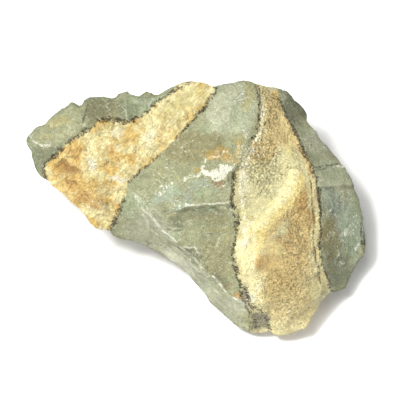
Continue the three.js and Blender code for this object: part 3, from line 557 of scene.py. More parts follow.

# Lines of colour, some of the marl's being painted shadow: colour, strength, half width, and the points of
# each line.
MARL_STREAKS_AND_SHADOWS = [
    ("black", 0.75, 0.3, [(-35.8, 33.9), (-36.5, 31.7), (-37.1, 29.4), (-37.4, 28.2)]),
    ("pale", 0.8, 0.25,
     [(-23.7, 35.8), (-23.7, 31.4), (-23.4, 26.6)], [(5.4, -11.5), (6.1, -9), (7.7, -7.7), (9.9, -7)]),
    ("chalk", 0.8, 0.3, [(-54.4, 23.4), (-52.8, 21.8), (-50.6, 20.5), (-48, 20.8)]),
    ("chalk", 0.7, 0.2,
     [(10.9, 34.6), (12.2, 36.2), (13.8, 38.1)], [(11.5, 34.9), (13.4, 35.5), (15.4, 36.2)]),
    ("pale", 0.6, 0.2, [(9.3, 32.6), (10.6, 34.2)]),
    ("white", 0.8, 0.22, [(-4.8, 1), (-2.6, 1.3), (-0.3, 1.6), (2.6, 1.9), (5.8, 2.2), (9.3, 2.6)]),
    # painted shadow under the ledge's step
    ("dark", 0.8, 0.7, [(-1.9, 0), (1.9, 0.3), (5.8, 0.6), (10.2, 1.3)]),
    ("chalk", 0.6, 0.4, [(-20.5, 4.2), (-18.6, 1.3), (-16.6, -1.3), (-14.7, -3.5), (-11.8, -6.4)]),
    ("chalk", 0.4, 0.25, [(-21.4, 5.8), (-19.5, 3.8), (-17.3, 1.6), (-15.4, -1.9)]),
    ("chalk", 0.8, 0.25,
     [(-11.8, -6.4), (-9.9, -8), (-8, -9.6), (-5.1, -12.8), (-1.6, -15.7), (1, -18.6)]),
    ("chalk", 0.7, 0.2, [(-3.8, -14.7), (-2.2, -17.6), (0, -20.2)]),
    ("chalk", 0.6, 0.25, [(-5.1, -11.8), (-3.2, -12.2), (-1.6, -11.8), (-0.6, -13.8), (1.6, -14.7)]),
    ("white", 0.85, 0.25, [(4.2, -21.1), (6.4, -24), (9, -26.9), (12.2, -29.1), (14.1, -30.1)]),
    ("chalk", 0.6, 0.35, [(4.5, -25.6), (6.7, -27.5)]),
    ("dark", 0.6, 0.3, [(-4.5, -12.2), (-2.6, -14.1), (-0.3, -15.4)]),
    ("pale", 0.7, 0.25, [(7, -17.6), (8.3, -16.6), (10.6, -17)]),
    ("pale", 0.8, 0.35, [(37.8, 7.7), (41, 8), (44.8, 8.3), (49.3, 8.3)]),
    # painted shadow under a step on the right block
    ("dark", 0.6, 0.6, [(39, 6.4), (42.2, 6.7), (46.1, 7.4), (49, 7.4)]),
    ("black", 0.85, 0.25, [(36.5, 13.8), (39, 13.8), (41.6, 14.2), (44.2, 14.7)]),
    ("black", 0.6, 0.22, [(36.5, 12.8), (39.4, 13), (42.2, 13.8)]),
    ("white", 0.8, 0.25, [(42.9, 13.8), (44.5, 14.1), (46.1, 13.8)]),
    ("umber", 0.5, 0.5, [(10.6, 11.5), (11.2, 8), (10.9, 4.8), (11.5, 1.6)]),
    # painted shadow of the gap under the right rim, drawn as two dark lines
    ("black", 0.85, 0.28, [(51.5, -4.2), (51.8, -8.3), (52.2, -12.5)]),
    ("black", 0.8, 0.35, [(52.5, -6.1), (52.8, -9.6), (52.8, -13.1)]),
    ("chalk", 0.7, 0.16, [(41.9, -7.4), (42.6, -7), (43.2, -7.7), (42.6, -8.3), (41.9, -8)]),
    ("chalk", 0.7, 0.18,
     [(44.2, -13.1), (44.5, -14.1), (45.1, -14.7)], [(45.1, -16.6), (45.8, -17.3), (46.4, -17)]),
    ("chalk", 0.7, 0.3, [(44.8, -8.3), (46.1, -7.4), (47, -6.4)]),
    ("chalk", 0.5, 0.18, [(42.9, -1), (43.8, -2.6), (44.8, -4.5)]),
    ("mist", 0.8, 0.2, [(40.3, 6.4), (41.6, 3.2), (43.2, -1)]),
    ("mist", 0.7, 0.2, [(43.2, -1), (46.1, 1.3), (48.3, 5.8)]),
    ("mist", 0.5, 0.3, [(43.5, 5.8), (43.8, 2.6), (43.5, 0)]),
    ("pale", 0.8, 0.22, [(-10.6, -5.4), (-8.3, -6.1), (-5.8, -5.8)]),
    ("pale", 0.7, 0.22, [(-9.3, -4.2), (-7, -3.5), (-4.8, -4.5)]),
    ("dark", 0.6, 0.25,
     [(-10.2, -6.4), (-8, -6.7), (-5.1, -6.4)], [(-9.6, -4.8), (-7.4, -4.5), (-4.8, -5.4)]),
    ("pale", 0.5, 0.2, [(-9.6, -7.4), (-7.4, -7.7), (-4.8, -6.7)]),
    ("pale", 0.6, 0.25, [(-19.2, 6.4), (-16.6, 3.5), (-14.1, 0), (-10.9, -3.8)]),
    ("chalk", 0.5, 0.25, [(-18.2, -1.3), (-16, -5.1), (-13.4, -8.3)]),
    ("dark", 0.4, 0.6, [(-4.5, -13.8), (-1.3, -16.6), (1.9, -18.6)]),
]
CALCITE_STREAKS = [
    ("rust", 0.6, 0.6, [(27.5, 29.4), (29.8, 26.2), (31.7, 22.4), (33.3, 18.6), (34.6, 15), (35.5, 12.2)]),
    ("umber", 0.5, 0.7, [(34.9, 16), (36.2, 10.9), (37.1, 5.8), (37.4, 0.6)]),
    ("umber", 0.7, 0.3,
     [(34.9, 11.5), (35.5, 7), (36.2, 1.3), (36.5, -5.1), (36.5, -11.5), (37.1, -16.6), (38.4, -22.4)]),
    ("straw", 0.8, 0.5,
     [(37.1, -1.6), (37.4, -6.4), (37.4, -10.9), (38.1, -15.4), (39.4, -19.8), (40.6, -23.7)]),
    ("black", 0.7, 0.2,
     [(35.2, 9.6), (35.8, 3.2), (36.3, -6.4), (36.5, -10.9), (37.1, -15.4), (38.1, -19.8), (38.7, -23.7)]),
    ("cream", 0.8, 0.9,
     [(17.3, 21.1), (15, 17.6), (14.1, 14.4), (13.4, 11.2), (13.1, 6.4), (13.4, 1.6), (13.8, -3.8)]),
    ("chalk", 0.5, 1.1,
     [(17.3, 20.5), (15.4, 17.6), (14.4, 14.4), (13.8, 10.2), (13.1, 5.8), (13.4, 1.9)]),
    ("cream", 0.9, 0.5, [(20.2, 36.5), (20.5, 32), (20.2, 28.8), (19.8, 25.6), (17.9, 22.1)]),
    ("umber", 0.9, 0.7, [(17.3, 23.7), (16.3, 22.1)]),
    ("white", 0.7, 0.3, [(19.5, 35.8), (19.8, 32.6), (19.8, 28.8), (19.5, 25.6), (17.9, 22.4)]),
    ("black", 0.8, 0.35, [(18.6, 34.9), (18.9, 33.3)], [(18.6, 31), (18.9, 29.1)]),
    ("umber", 0.8, 0.4, [(18.2, 27.8), (18.2, 25.3)]),
    ("honey", 0.8, 0.5, [(17.9, 21.1), (17, 20.5)]),
    ("rust", 0.3, 0.5, [(-28.2, 12.2), (-25, 14.1), (-21.1, 17.6), (-16.6, 21.8)]),
    ("straw", 0.75, 1.1, [(-22.7, 10.2), (-17.6, 15.7), (-11.5, 21.4), (-5.8, 27.5), (-0.6, 33.3)]),
    ("sand", 0.6, 0.9, [(-33.3, 24), (-29.4, 26.6), (-24.3, 26.6)]),
]

# The dark granular lining of the veins: border, and its parts: first and last point, half width, density.
LININGS = [
    (LEFT_VEIN_UPPER, [(0, 8, 0.72, 0.8), (8, 10, 0.45, 0.4), (10, 15, 0.85, 0.85), (14, 19, 0.65, 0.65)]),
    ([(-8.6, 37.8), (-6.1, 39.2), (-3.8, 40.4)], [(0, 2, 0.65, 0.8)]),
    (LEFT_VEIN_LOWER, [
        (0, 4, 0.65, 0.85), (4, 7, 0.45, 0.7), (7, 9, 0.33, 0.35), (9, 13, 0.45, 0.9), (13, 15, 0.33, 0.3),
        (15, 19, 0.78, 0.85),
    ]),
    (RIGHT_VEIN_LEFT, [
        (0, 2, 0.52, 0.7), (2, 6, 0.45, 0.45), (6, 10, 0.33, 0.2), (10, 13, 0.59, 0.8),
        (13, 16, 0.78, 0.9), (16, 22, 0.59, 0.8), (22, 26, 0.52, 0.6),
    ]),
    (CRUST, [(0, 7, 0.65, 0.75)]),
    (RIGHT_VEIN_RIGHT, [(1, 4, 0.52, 0.7), (4, 8, 0.78, 0.85), (8, 12, 0.65, 0.75), (12, 20, 0.52, 0.75)]),
]
HIDDEN_WIDTH, HIDDEN_DENSITY = 0.55, 0.75  # half width and density on the hidden side

# Scattered dark specks, chalky flecks and calcite grain, whose gaps get painted shade: density, blots.
MARL_SPECKS = [
    (0.1, [
        (-22.7, 31.7, 4.5, 3.5), (-7, -3.8, 2.9, 2.9), (6.1, -22.1, 4.2, 1.9, -35),
        (41.6, 13.4, 5.1, 1, 3), (37.8, 22.4, 4.5, 6.4, -50), (33.9, 29.4, 3.2, 3.8),
    ]),
    (0.09,
     [(37.8, 21.8, 5.1, 6.4, -50), (46.4, -9.6, 5.1, 10.9), (32, 32.6, 4.5, 4.5), (-3.2, 19.2, 6.4, 5.1)]),
    (0.06, [(44.8, 10.9, 6.4, 3.2), (46.4, -12.8, 4.5, 9.6), (-46.4, 16, 5.1, 2.6, 30)]),
]
CALCITE_SPECKS = [
    (0.4, [(16, -31.4, 2.2, 2.9), (19.2, -35.8, 2.9, 2.6)]),
    (0.35, [(14.7, -28.8, 1.3, 3.2), (16, -33, 1.3, 1.3)]),
    (0.3, [(18.6, 19.2, 1, 1.3), (13.4, 15, 1.3, 1.6)]),
    (0.12, [(28.5, 14.1, 1.3, 3.8, 30), (18.6, -35.2, 3.5, 3.5)]),
    (0.07,
     [(21.8, 25.6, 5.1, 16), (21.8, 10.2, 10.2, 9.6), (28.8, -28.8, 8.3, 9.6), (33.3, -9.6, 4.5, 16)]),
    (0.02, [(-28.8, 16, 25.6, 16, 35)]),
]
MARL_FLECKS = [
    (0.8, [(7, 12.2, 4.2, 1.9, 8), (9.3, 12.8, 2.2, 1.9), (2.6, 11.5, 3.2, 0.8, 8)]),
    (0.76, [(6.7, 12.2, 4.8, 2.6, 8), (3.8, 11.5, 4.8, 1.9)]),
    (0.72, [(46.7, -7.4, 1.6, 1.9), (50.6, -12.5, 1.6, 1.6), (47.7, -5.1, 1, 1.3)]),
    (0.6, [(1, 15.7, 1, 2.6), (-0.6, 10.6, 5.1, 1.3, 10), (1.6, 13.4, 2.6, 1)]),
    (0.58,
     [(-2.6, 10.2, 3.8, 1, 15), (-10.2, 7, 3.8, 1, 35), (-13.4, 4.8, 1.6, 1), (-4.8, 1.3, 4.5, 0.5, 12)]),
    (0.52, [
        (7, 8.3, 2.9, 1.3), (14.7, 23, 1.3, 5.1), (-10.9, 7, 4.8, 1.9, 40), (-13.1, 5.1, 1.9, 1.3),
        (46.4, -7.4, 1.3, 2.2),
    ]),
    (0.5, [(7, 17.9, 6.4, 2.6), (12.8, 19.2, 1.9, 3.2)]),
    (0.48, [
        (10.2, 14.4, 1.9, 3.2, -30), (50.2, -12.5, 1, 1.6), (42.6, -8, 1.3, 1), (2.2, 24.6, 3.2, 0.6, 25),
        (12.8, 37.8, 2.2, 1.6, 40),
    ]),
    (0.46, [(37.8, 22.4, 4.5, 6.4, -50), (46.4, 3.2, 3.8, 6.4), (48.6, -4.8, 2.6, 8.3)]),
    (0.45, [(44.2, -11.5, 2.6, 3.8), (51.2, -8, 1.3, 3.8), (41.6, -0.6, 1.9, 1.9)]),
    (0.44, [(-11.2, 9.6, 4.5, 5.8), (-9, 1.6, 3.8, 4.5)]),
    (0.42, [
        (-16.6, 1.6, 2.9, 6.4, 38), (45.1, -15.4, 1.6, 3.2), (-12.8, 10.9, 3.8, 2.9),
        (12.8, 35.2, 2.6, 3.8, 40), (-1.3, -12.8, 2.9, 2.6),
    ]),
    (0.38, [
        (-4.8, 20.8, 5.8, 5.1), (-7, 3.2, 4.5, 5.8), (3.8, 6.4, 5.8, 2.9), (-1.3, -16.6, 4.8, 1.9, -45),
        (8, -25.6, 6.4, 1.6, -42),
    ]),
    (0.32, [
        (42.6, 11.2, 5.8, 1.9), (49.3, 1.6, 1.6, 5.1), (-44.8, 24.3, 10.9, 5.8, 25),
        (-31.7, 35.5, 1.9, 1.3), (40, 16, 4.5, 2.6),
    ]),
    (0.27, [(4.8, -8, 8.3, 9.6), (44.8, -4.8, 6.4, 12.8), (3.2, 32, 10.9, 10.9)]),
]
CALCITE_FLECKS = [
    (0.55, [(14.1, 10.2, 1.3, 10.9, 4), (16.6, 19.8, 1.6, 2.6, 20), (13.8, -3.2, 1, 4.5)]),
    (0.5, [(14.7, -28.8, 1.6, 3.8), (19.8, 19.2, 1.6, 2.6, 20)]),
    (0.38, [
        (-33.3, 1.6, 8.3, 3.2, -35), (-35.8, 19.2, 6.4, 1.6, 35), (-9.6, 29.4, 5.1, 5.8, 45),
        (27.8, -33.6, 8.3, 5.8),
    ]),
    (0.32, [(-28.8, 16, 25.6, 16, 35), (21.8, 11.2, 10.2, 16), (32, -8, 5.1, 16)]),
]
GRAIN = [
    (1.0, [(19.8, 16, 8.3, 14.4, 20), (21.8, 32, 5.1, 9.6)]),
    (0.8, [(32, -12.8, 7.7, 24), (25.6, -28.8, 12.2, 12.8)]),
    (0.5, [(-28.8, 16, 25.6, 16, 35)]),
    (0.35, [(21.8, -3.2, 10.2, 6.4, 45)]),
]

# Fine parallel grooves: a blot and their spacing.
GROOVES = [
    ((-45.4, 25.6, 12.8, 6.4, 25), 1.7), ((-22.7, 31.7, 4.2, 4.5, 90), 1.0),
    ((-17.3, -5.1, 10.9, 5.1, -48), 1.6), ((-4.5, -17.3, 10.9, 3.8, -44), 1.5),
    ((6.4, -9.6, 5.1, 10.9, 80), 2.2), ((9, 32.6, 9.6, 9.6, 50), 2.6),
    ((43.2, -1.6, 9.6, 3.2, 80), 1.8), ((37.8, 21.8, 7.7, 3.8, -52), 1.8),
]
GROOVE_STRETCH = 7  # length of a groove against its width
STAIN_DRIFT, LINE_DRIFT = 1.6, 0.35  # how far the noise moves stains and lines
EDGE_SHADE = 0.25  # painted shade darkening the marl along the rim, where a rounded rim would turn away from the light
MARL_LEVEL, LEFT_LEVEL, RIGHT_LEVEL = 0.97, 0.98, 1.07  # brightness of the marl and of both veins
PLATE_FADE = 8.4  # width over which the raised plate turns from cream to tan
PLATE_STRENGTH, CRUST_STRENGTH, LINING_STAIN = 0.9, 0.9, 0.7
FLECKS_BETWEEN, FLECKS_HIDDEN = 0.2, 0.05  # least density of flecks on the face and behind it
MARL_GRAIN = 0.12  # density of the grain outside the veins


def linear(colour):
    """A named colour, from screen levels to the amounts of light that they stand for."""
    share = np.array(COLOURS[colour]) / 255
    return np.where(share <= 0.04045, share / 12.92, ((share + 0.055) / 1.055) ** 2.4)


def painted(paint, stains, streaks):
    """paint under its stains and streaks, which on the marl include painted shade, shadow and a highlight.
    """
    for colour, strength, blots in stains:
        paint = blended(paint, linear(colour), strength * blot_share(stain_spots, blots))
    for colour, strength, half_width, *lines in streaks:
        for line in lines:
            share = 1 - smooth_rise(0.5, 1.6, line_distance(line, line_spots) / half_width)
            paint = blended(paint, linear(colour), strength * share * wear)
    return paint


def marbled(wave, *colours):
    """Colours that follow one another as the wave rises from -1 to 1."""
    place = np.clip((wave + 1) / 2, 0, 0.999) * (len(colours) - 1)
    table = np.array([linear(colour) for colour in colours])
    step = place.astype(int)
    return blended(table[step], table[step + 1], place - step)


def varied(paint, wave):
    """paint, lightened and darkened by a wave."""
    return paint * (1 + wave)[:, None]


def grooved(noise, spots):
    """Waves drawn out along the grooves, where there are any."""
    total = np.zeros(len(spots))
    for blot, spacing in GROOVES:
        x, y, _, _, turn = blot
        along, side = turned(spots, x, y, turn)
        drawn = np.stack([along / GROOVE_STRETCH, side, np.full(len(spots), x)], axis=1)
        total += blot_share(spots, [blot]) * noise.wave(drawn, spacing, 2)
    return total


def densest(marl_marks, calcite_marks):
    """The greatest density of the marks at each place, from the list for the mineral there."""
    on_marl, on_calcite = np.zeros((2, len(surface)))
    for total, marks in ((on_marl, marl_marks), (on_calcite, calcite_marks)):
        for density, blots in marks:
            np.maximum(total, density * blot_share(stain_spots, blots), out=total)
    return np.where(calcite > 0.5, on_calcite, on_marl)


tone = Noise(8)
slow, quick = tone.wave(surface, 7, 2), tone.wave(surface + 30, 2.2, 2)
drift = tone.shifts(surface + 55, surface + 70, 5, 2)
stain_spots = face[:, :2] + STAIN_DRIFT * drift
line_spots = face[:, :2] + LINE_DRIFT * drift
wear = 0.2 + 0.8 * smooth_rise(-0.45, 0.3, tone.wave(surface + 44, 1.5, 2))

mottle = 0.8 * tone.wave(surface + 5, 4.8, 3) + 0.4 * quick + 0.2 * tone.wave(surface + 25, 1.1, 2)
marl_paint = marbled(1.1 * tone.wave(surface + 80, 8, 4), "green", "marl", "marl", "moss")
marl_paint = painted(marl_paint, MARL_STAINS_AND_SHADE, MARL_STREAKS_AND_SHADOWS)
rind = np.tile(linear("grey"), (len(surface), 1))
for colour, length, level in (("dark", 16, 0.0), ("ochre", 11, 0.25), ("olive", 23, 0.1)):
    clouds = smooth_rise(level - 0.2, level + 0.45, tone.wave(surface + 13 * length, length, 3))
    rind = blended(rind, linear(colour), 0.75 * clouds)
marl_paint = blended(rind, marl_paint, front)
grooves = grooved(tone, stain_spots) * front * (1 - calcite)
# Painted shade along the rim of the broken face.
marl_paint = varied(marl_paint, -EDGE_SHADE * rim_shade_share * front)
marl_paint = MARL_LEVEL * varied(marl_paint, 0.09 * slow + 0.12 * quick + 0.15 * grooves)

left_paint = marbled(mottle, "rust", "honey", "honey", "straw", "cream", "cream", "chalk")
right_paint = marbled(mottle * 0.4, "tan", "druse", "straw")
calcite_paint = np.where(on_left[:, None], left_paint, right_paint)
calcite_paint = painted(calcite_paint, CALCITE_STAINS, CALCITE_STREAKS)
plate = signed_distance(PLATE_FRONT, PLATE_BACK, [(19, -33), (31, 13)], spots + drift * 0.5)
across = np.minimum(line_distance(PLATE_FRONT, spots + drift * 0.7) / PLATE_FADE, 1)
plate_paint = 2 * across - 1 + 0.3 * mottle
plate_paint = marbled(plate_paint, "cream", "cream", "cream", "plate", "plate", "tan", "tan")
calcite_paint = blended(calcite_paint, plate_paint, PLATE_STRENGTH * smooth_rise(-0.2, 0.5, plate))
core = marbled(mottle, "tan", "sand", "straw", "tan", "umber")
calcite_paint = blended(core, calcite_paint, front)
calcite_paint *= np.where(on_left, LEFT_LEVEL, RIGHT_LEVEL)[:, None]
calcite_paint = varied(calcite_paint, 0.07 * slow + 0.12 * quick)
crust_share = blot_share(stain_spots, [(14.4, -28.2, 1.9, 4.5, -10), (18.9, -35.2, 3.5, 3.5)])
calcite_paint = blended(calcite_paint, linear("crust"), CRUST_STRENGTH * crust_share)
paint = blended(marl_paint, calcite_paint, calcite)

dark_density = densest(MARL_SPECKS, CALCITE_SPECKS) * front
gaps = 0.35 + 0.65 * smooth_rise(-0.5, 0.15, tone.wave(surface + 66, 1.7, 2))
for line, parts in LININGS:
    for first, last, half_width, density in parts:
        away = line_distance(line[first : last + 1], spots) / half_width
        lining = density * (1 - smooth_rise(0.5, 1.8, away)) * gaps * front
        dark_density = np.maximum(dark_density, lining)
hidden_away = (np.abs(border) + 0.25 * quick) / HIDDEN_WIDTH
hidden_lining = HIDDEN_DENSITY * (1 - smooth_rise(0.6, 1.5, hidden_away)) * (1 - front)
dark_density = np.maximum(dark_density, hidden_lining)
near_lining = np.maximum(dark_density - 0.3, 0) * (np.abs(border) < 2)
paint = blended(paint, 0.45 * linear("umber"), LINING_STAIN * near_lining)
pale_density = np.maximum(densest(MARL_FLECKS, CALCITE_FLECKS), FLECKS_BETWEEN + 0.12 * slow)
pale_density = blended(FLECKS_HIDDEN, pale_density, front)
grain = np.where(calcite > 0.5, 0.5 + (densest([], GRAIN) - 0.5) * front, MARL_GRAIN)
grain *= 1 - 0.7 * blot_share(face[:, :2], SMOOTH_PLATE) * calcite * front

# ---- Relief ----

GROUND_BAND = (0.6, 2.5)  # no relief below the first height, all of it above the second
RIM_BAND = (1.0, 3.0)  # distances from the rim between which its chips fade out
LINING_DEPTH = 0.3
BOX_MARGIN = 0.02
# Facets: size, height, slope.
LARGE_CRYSTALS, SMALL_CRYSTALS = (2.6, 0.12, 0.26), (1.2, 0.07, 0.3)
LARGE_CHIPS, SMALL_CHIPS, RIM_CHIPS = (5.5, 0.05, 0.05), (1.9, 0.03, 0.06), (4.2, 0.14, 0.09)
GRAIN_SIZE, GRAIN_HEIGHT = 0.95, 0.2

chips, bumps = Noise(21), Noise(34)


def facets(places, size, height, slope):
    """Broken crystal faces: each cell stands at a level of its own and leans its own way."""
    _, levels, offsets = chips.cells(places, size)
    return height * (levels[:, 0] - 0.5) * 2 + slope * ((levels[:, 1:] - 0.5) * offsets).sum(1)


hackly = facets(surface, *LARGE_CRYSTALS) + facets(surface + 9, *SMALL_CRYSTALS)
nearest, levels, _ = bumps.cells(surface, GRAIN_SIZE)
grainy = GRAIN_HEIGHT * (0.6 + 0.8 * levels[:, 0]) * (1 - np.minimum(nearest / 0.8, 1) ** 2)
grainy += 0.05 * bumps.wave(surface, 3)
grain_share = 1 - 0.85 * blot_share(face[:, :2], SMOOTH_PLATE)
right_lift = blended(0.05 * bumps.wave(surface, 1.6, 2), grainy, grain_share)
calcite_lift = np.where(on_left, hackly, right_lift)
marl_lift = 0.05 * bumps.wave(surface + 60, 3.4, 2) + 0.035 * bumps.wave(surface + 60, 1.2, 2)
marl_lift += 0.05 * grooves
marl_lift += facets(surface + 33, *LARGE_CHIPS) + facets(surface + 12, *SMALL_CHIPS)
marl_lift = blended(marl_lift, 0.3 * bumps.wave(surface + 20, 5, 3), 1 - front)
lift = blended(marl_lift, calcite_lift, calcite)
lift -= LINING_DEPTH * np.minimum(dark_density * 1.2, 1) * (np.abs(border) < 1.2)
rim_share = np.exp(-((normals @ FACE_OUT / 0.4) ** 2)) * (1 - smooth_rise(*RIM_BAND, from_rim))
lift += rim_share * (facets(surface + 50, *RIM_CHIPS) + 0.12 * bumps.wave(surface + 8, 2.6, 2))
lift *= smooth_rise(*GROUND_BAND, surface[:, 2])
surface = surface + normals * lift[:, None]
low = np.array(cad_box[0]) / MM + BOX_MARGIN
high = np.array(cad_box[1]) / MM - BOX_MARGIN
low[2] = 0
surface = np.clip(surface, low, high)

# ---- The piece ----

OWN_BRIGHTNESS = 0.836  # the stone's own share of the brightness it shows in the strong light
SHAKE_SCALE = 1.6  # of the noise that moves the cells of the others
# Sizes of the shader's noise.
SPECK_SIZE, FLECK_SIZE, CRYSTAL_SIZE = 0.5, 0.75, 0.72
HONEY_TINT = (0.98, 0.86, 0.6)
CHALK_STRENGTH = 0.85
CALCITE_ROUGHNESS, MARL_ROUGHNESS = 0.55, 0.9
BUMP_DEPTH = 0.8 * MM

scene = bpy.context.scene


def placed(name, data):
    """A new object in the scene."""
    made = bpy.data.objects.new(name, data)
    scene.collection.objects.link(made)
    return made


def store(name, columns):
    """Four numbers for each place, kept in the mesh as a colour."""
    layer = mesh.attributes.new(name, "FLOAT_COLOR", "POINT")
    layer.data.foreach_set("color", np.stack(columns, axis=1).astype(np.float32).reshape(-1))


mesh = bpy.data.meshes.new("nodule_surface")
mesh.from_pydata(surface * MM, [], triangles, shade_flat=False)
store("paint", [*np.clip(paint * OWN_BRIGHTNESS, 0, 1).T, np.ones(len(surface))])
store("marks", [dark_density, pale_density, grain, calcite])

stone = bpy.data.materials.new("stone")
stone.use_nodes = True
tree = stone.node_tree
tree.nodes.clear()


def node(kind, inputs=(), **settings):
    """A shader node. Inputs are set by socket name, from a value or from another node's socket."""
    made = tree.nodes.new("ShaderNode" + kind)
    for name, value in settings.items():
        setattr(made, name, value)
    for name, value in dict(inputs).items():
        if isinstance(value, bpy.types.NodeSocket):
            tree.links.new(value, made.inputs[name])
        else:
            made.inputs[name].default_value = value
    return made


def maths(operation, one, other):
    return node("Math", {0: one, 1: other}, operation=operation).outputs[0]


def plus(one, other):
    return maths("ADD", one, other)


def times(one, other):
    return maths("MULTIPLY", one, other)


def vector(operation, one, other):
    return node("VectorMath", {0: one, 1: other}, operation=operation).outputs[0]


def scaled(one, share):
    return node("VectorMath", {0: one, "Scale": share}, operation="SCALE").outputs[0]


def ramp(value, low, high, start=0.0, end=1.0):
    """Like smooth_rise, but from start to end."""
    sockets = {"Value": value, "From Min": low, "From Max": high, "To Min": start, "To Max": end}
    return node("MapRange", sockets, interpolation_type="SMOOTHSTEP").outputs["Result"]


def mixed(share, one, other):
    return node("Mix", {0: share, 6: one, 7: other}, data_type="RGBA").outputs[2]


def separate(colour):
    return node("SeparateColor", {"Color": colour}).outputs


def noise(place, scale, detail, roughness=0.5):
    sockets = {"Vector": place, "Scale": scale, "Detail": detail, "Roughness": roughness}
    return node("TexNoise", sockets).outputs


marks_layer = node("Attribute", attribute_name="marks").outputs
densities = separate(marks_layer["Color"])
calcite_layer = marks_layer["Alpha"]
place = scaled(node("TexCoord").outputs["Object"], 1 / MM)
shaken = vector("ADD", place, scaled(noise(place, SHAKE_SCALE, 1.0)["Color"], 0.5))


def cell(size, offset=0.0):
    """Distance to the middle of the nearest grain, and three random numbers of that grain."""
    made = node("TexVoronoi", {"Vector": vector("ADD", shaken, (offset,) * 3), "Scale": 1 / size})
    return made.outputs["Distance"], separate(made.outputs["Color"])


def unevenness(size, detail, spread, offset=0.0):
    """Noise from about -spread to spread."""
    level = noise(vector("ADD", shaken, (offset,) * 3), 1 / size, detail, 0.65)[0]
    return times(maths("SUBTRACT", level, 0.5), 6 * spread)


def drawn_out(turn):
    """Noise from 0 to 1 in fine streaks along one direction."""
    sockets = {"Vector": place, "Rotation": (0, 0, turn), "Scale": (4.0, 0.6, 1.5)}
    return noise(node("Mapping", sockets, vector_type="TEXTURE").outputs[0], 1.3, 3.0)[0]


def scratches(turn, level):
    """Fine pale scratches, where the noise passes the level."""
    return ramp(drawn_out(turn), level, level + 0.12, 0.0, 0.4)


# Dark specks are single grains. A density is the share of the grains that are dark.
_, speck_draws = cell(SPECK_SIZE, 19.0)
dark_share = ramp(maths("SUBTRACT", densities["Red"], speck_draws["Red"]), 0.0, 0.15)
dark_share = times(dark_share, plus(times(speck_draws["Green"], 0.45), 0.5))
# Chalky flecks are ragged: a density lowers the level that the noise has to reach.
fleck_level = plus(times(densities["Green"], 0.85), -0.45)
pale_share = ramp(plus(unevenness(FLECK_SIZE, 4.0, 0.25, 7.0), fleck_level), 0.0, 0.16)
scratched = maths("MAXIMUM", scratches(-0.75, 0.61), scratches(0.45, 0.6))
scratched = times(scratched, maths("SUBTRACT", 1.0, calcite_layer))
pale_share = maths("MAXIMUM", pale_share, scratched)

# Lighter and darker crystals, with painted shade in the gaps between them, and soft streaks in the left
# vein.
grain_distance, grain_draws = cell(CRYSTAL_SIZE)
grain_level = plus(times(grain_draws["Red"], 0.26), -0.05)
gap_shade = ramp(grain_distance, 0.35, 0.72, 0.0, -0.34)
crystal_tone_and_gap_shade = times(plus(grain_level, gap_shade), densities["Blue"])
left_calcite = ramp(node("SeparateXYZ", {0: place}).outputs["X"], 3.0, 8.0, 1.0, 0.0)
left_calcite = times(left_calcite, calcite_layer)
finest = times(unevenness(0.35, 2.0, 0.27), ramp(left_calcite, 0.0, 1.0, 1.0, 0.45))
streaked = times(ramp(drawn_out(0.85), 0.3, 0.7, -0.19, 0.15), left_calcite)
fine_effect = plus(plus(finest, streaked), unevenness(1.3, 3.0, 0.13, 3.0))
brightness = plus(plus(crystal_tone_and_gap_shade, fine_effect), 1.0)
colour = scaled(node("Attribute", attribute_name="paint").outputs["Color"], brightness)
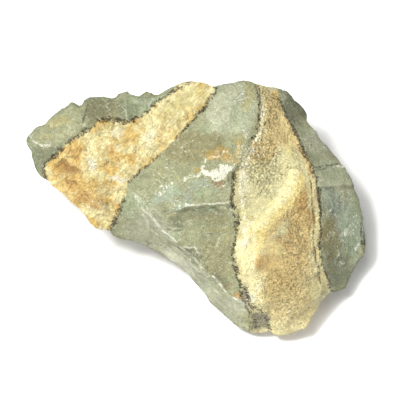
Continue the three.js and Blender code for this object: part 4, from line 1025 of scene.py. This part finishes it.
# Honey-coloured clouds in the calcite.
honey_share = ramp(unevenness(1.5, 3.0, 0.2, 11.0), -0.05, 0.35, 0.0, 0.5)
colour = mixed(times(honey_share, calcite_layer), colour, vector("MULTIPLY", colour, HONEY_TINT))
colour = mixed(times(pale_share, CHALK_STRENGTH), colour, (*linear("chalk") * 0.92, 1))
colour = mixed(dark_share, colour, (*linear("black"), 1))
grain_dome = times(times(grain_distance, grain_distance), -1.0)
bump_height = plus(unevenness(0.8, 5.0, 0.25), times(grain_dome, densities["Blue"]))
shader = node("BsdfPrincipled", {
    "Base Color": colour,
    "Roughness": ramp(calcite_layer, 0.0, 1.0, MARL_ROUGHNESS, CALCITE_ROUGHNESS),
    "Specular IOR Level": 0.3,
    "Normal": node("Bump", {"Height": bump_height, "Distance": BUMP_DEPTH}).outputs[0],
})
node("OutputMaterial", {"Surface": shader.outputs[0]})

mesh.materials.append(stone)
piece = placed("nodule_surface", mesh)
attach(piece, "root")
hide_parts("nodule")

# ---- Table, light and camera ----

TABLE_REACH = 3.0  # metres from the middle to a side
AMBIENT = 0.38
CAMERA_PLACE = (0, 3.2, 3006)  # face frame
LENS, SENSOR = 843.75, 36.0

table_material = bpy.data.materials.new("white_table")
table_material.use_nodes = True
table_shader = table_material.node_tree.nodes["Principled BSDF"].inputs
table_shader["Base Color"].default_value = (0.97, 0.97, 0.97, 1)
table_shader["Roughness"].default_value = 0.95
table_shader["Specular IOR Level"].default_value = 0.0
corners = [(-1, -1, 0), (1, -1, 0), (1, 1, 0), (-1, 1, 0)]
table_mesh = bpy.data.meshes.new("table")
table_mesh.from_pydata([Vector(corner) * TABLE_REACH for corner in corners], [], [(0, 1, 2, 3)])
table_mesh.materials.append(table_material)
table = placed("table", table_mesh)

world = bpy.data.worlds.new("studio")
world.use_nodes = True
background = world.node_tree.nodes["Background"].inputs
background["Color"].default_value = (1, 1, 1, 1)
background["Strength"].default_value = AMBIENT
scene.world = world


def softbox(name, towards, away, size, power, colour=(1, 1, 1)):
    """A square light at a distance in metres from the stone, shining at it."""
    lamp = bpy.data.lights.new(name, "AREA")
    lamp.size, lamp.energy, lamp.color = size, power, colour
    box = placed(name, lamp)
    box.location = Vector(towards).normalized() * away
    box.rotation_euler = Vector(towards).to_track_quat("Z", "Y").to_euler()


softbox("ceiling", (-0.17, -0.02, 0.95), 3.4, 1.2, 52)
softbox("key", (-0.27, -0.04, 0.95), 2.0, 0.35, 33, (1.0, 0.99, 0.97))
softbox("fill", (-0.5, -0.7, 0.5), 2.4, 1.5, 17)

camera_data = bpy.data.cameras.new("camera")
camera_data.lens, camera_data.sensor_width = LENS, SENSOR
camera = placed("camera", camera_data)
camera.location = to_row(*CAMERA_PLACE)
camera.rotation_euler = (FACE_TILT, 0, 0)
scene.camera = camera
scene.view_settings.view_transform = "Standard"
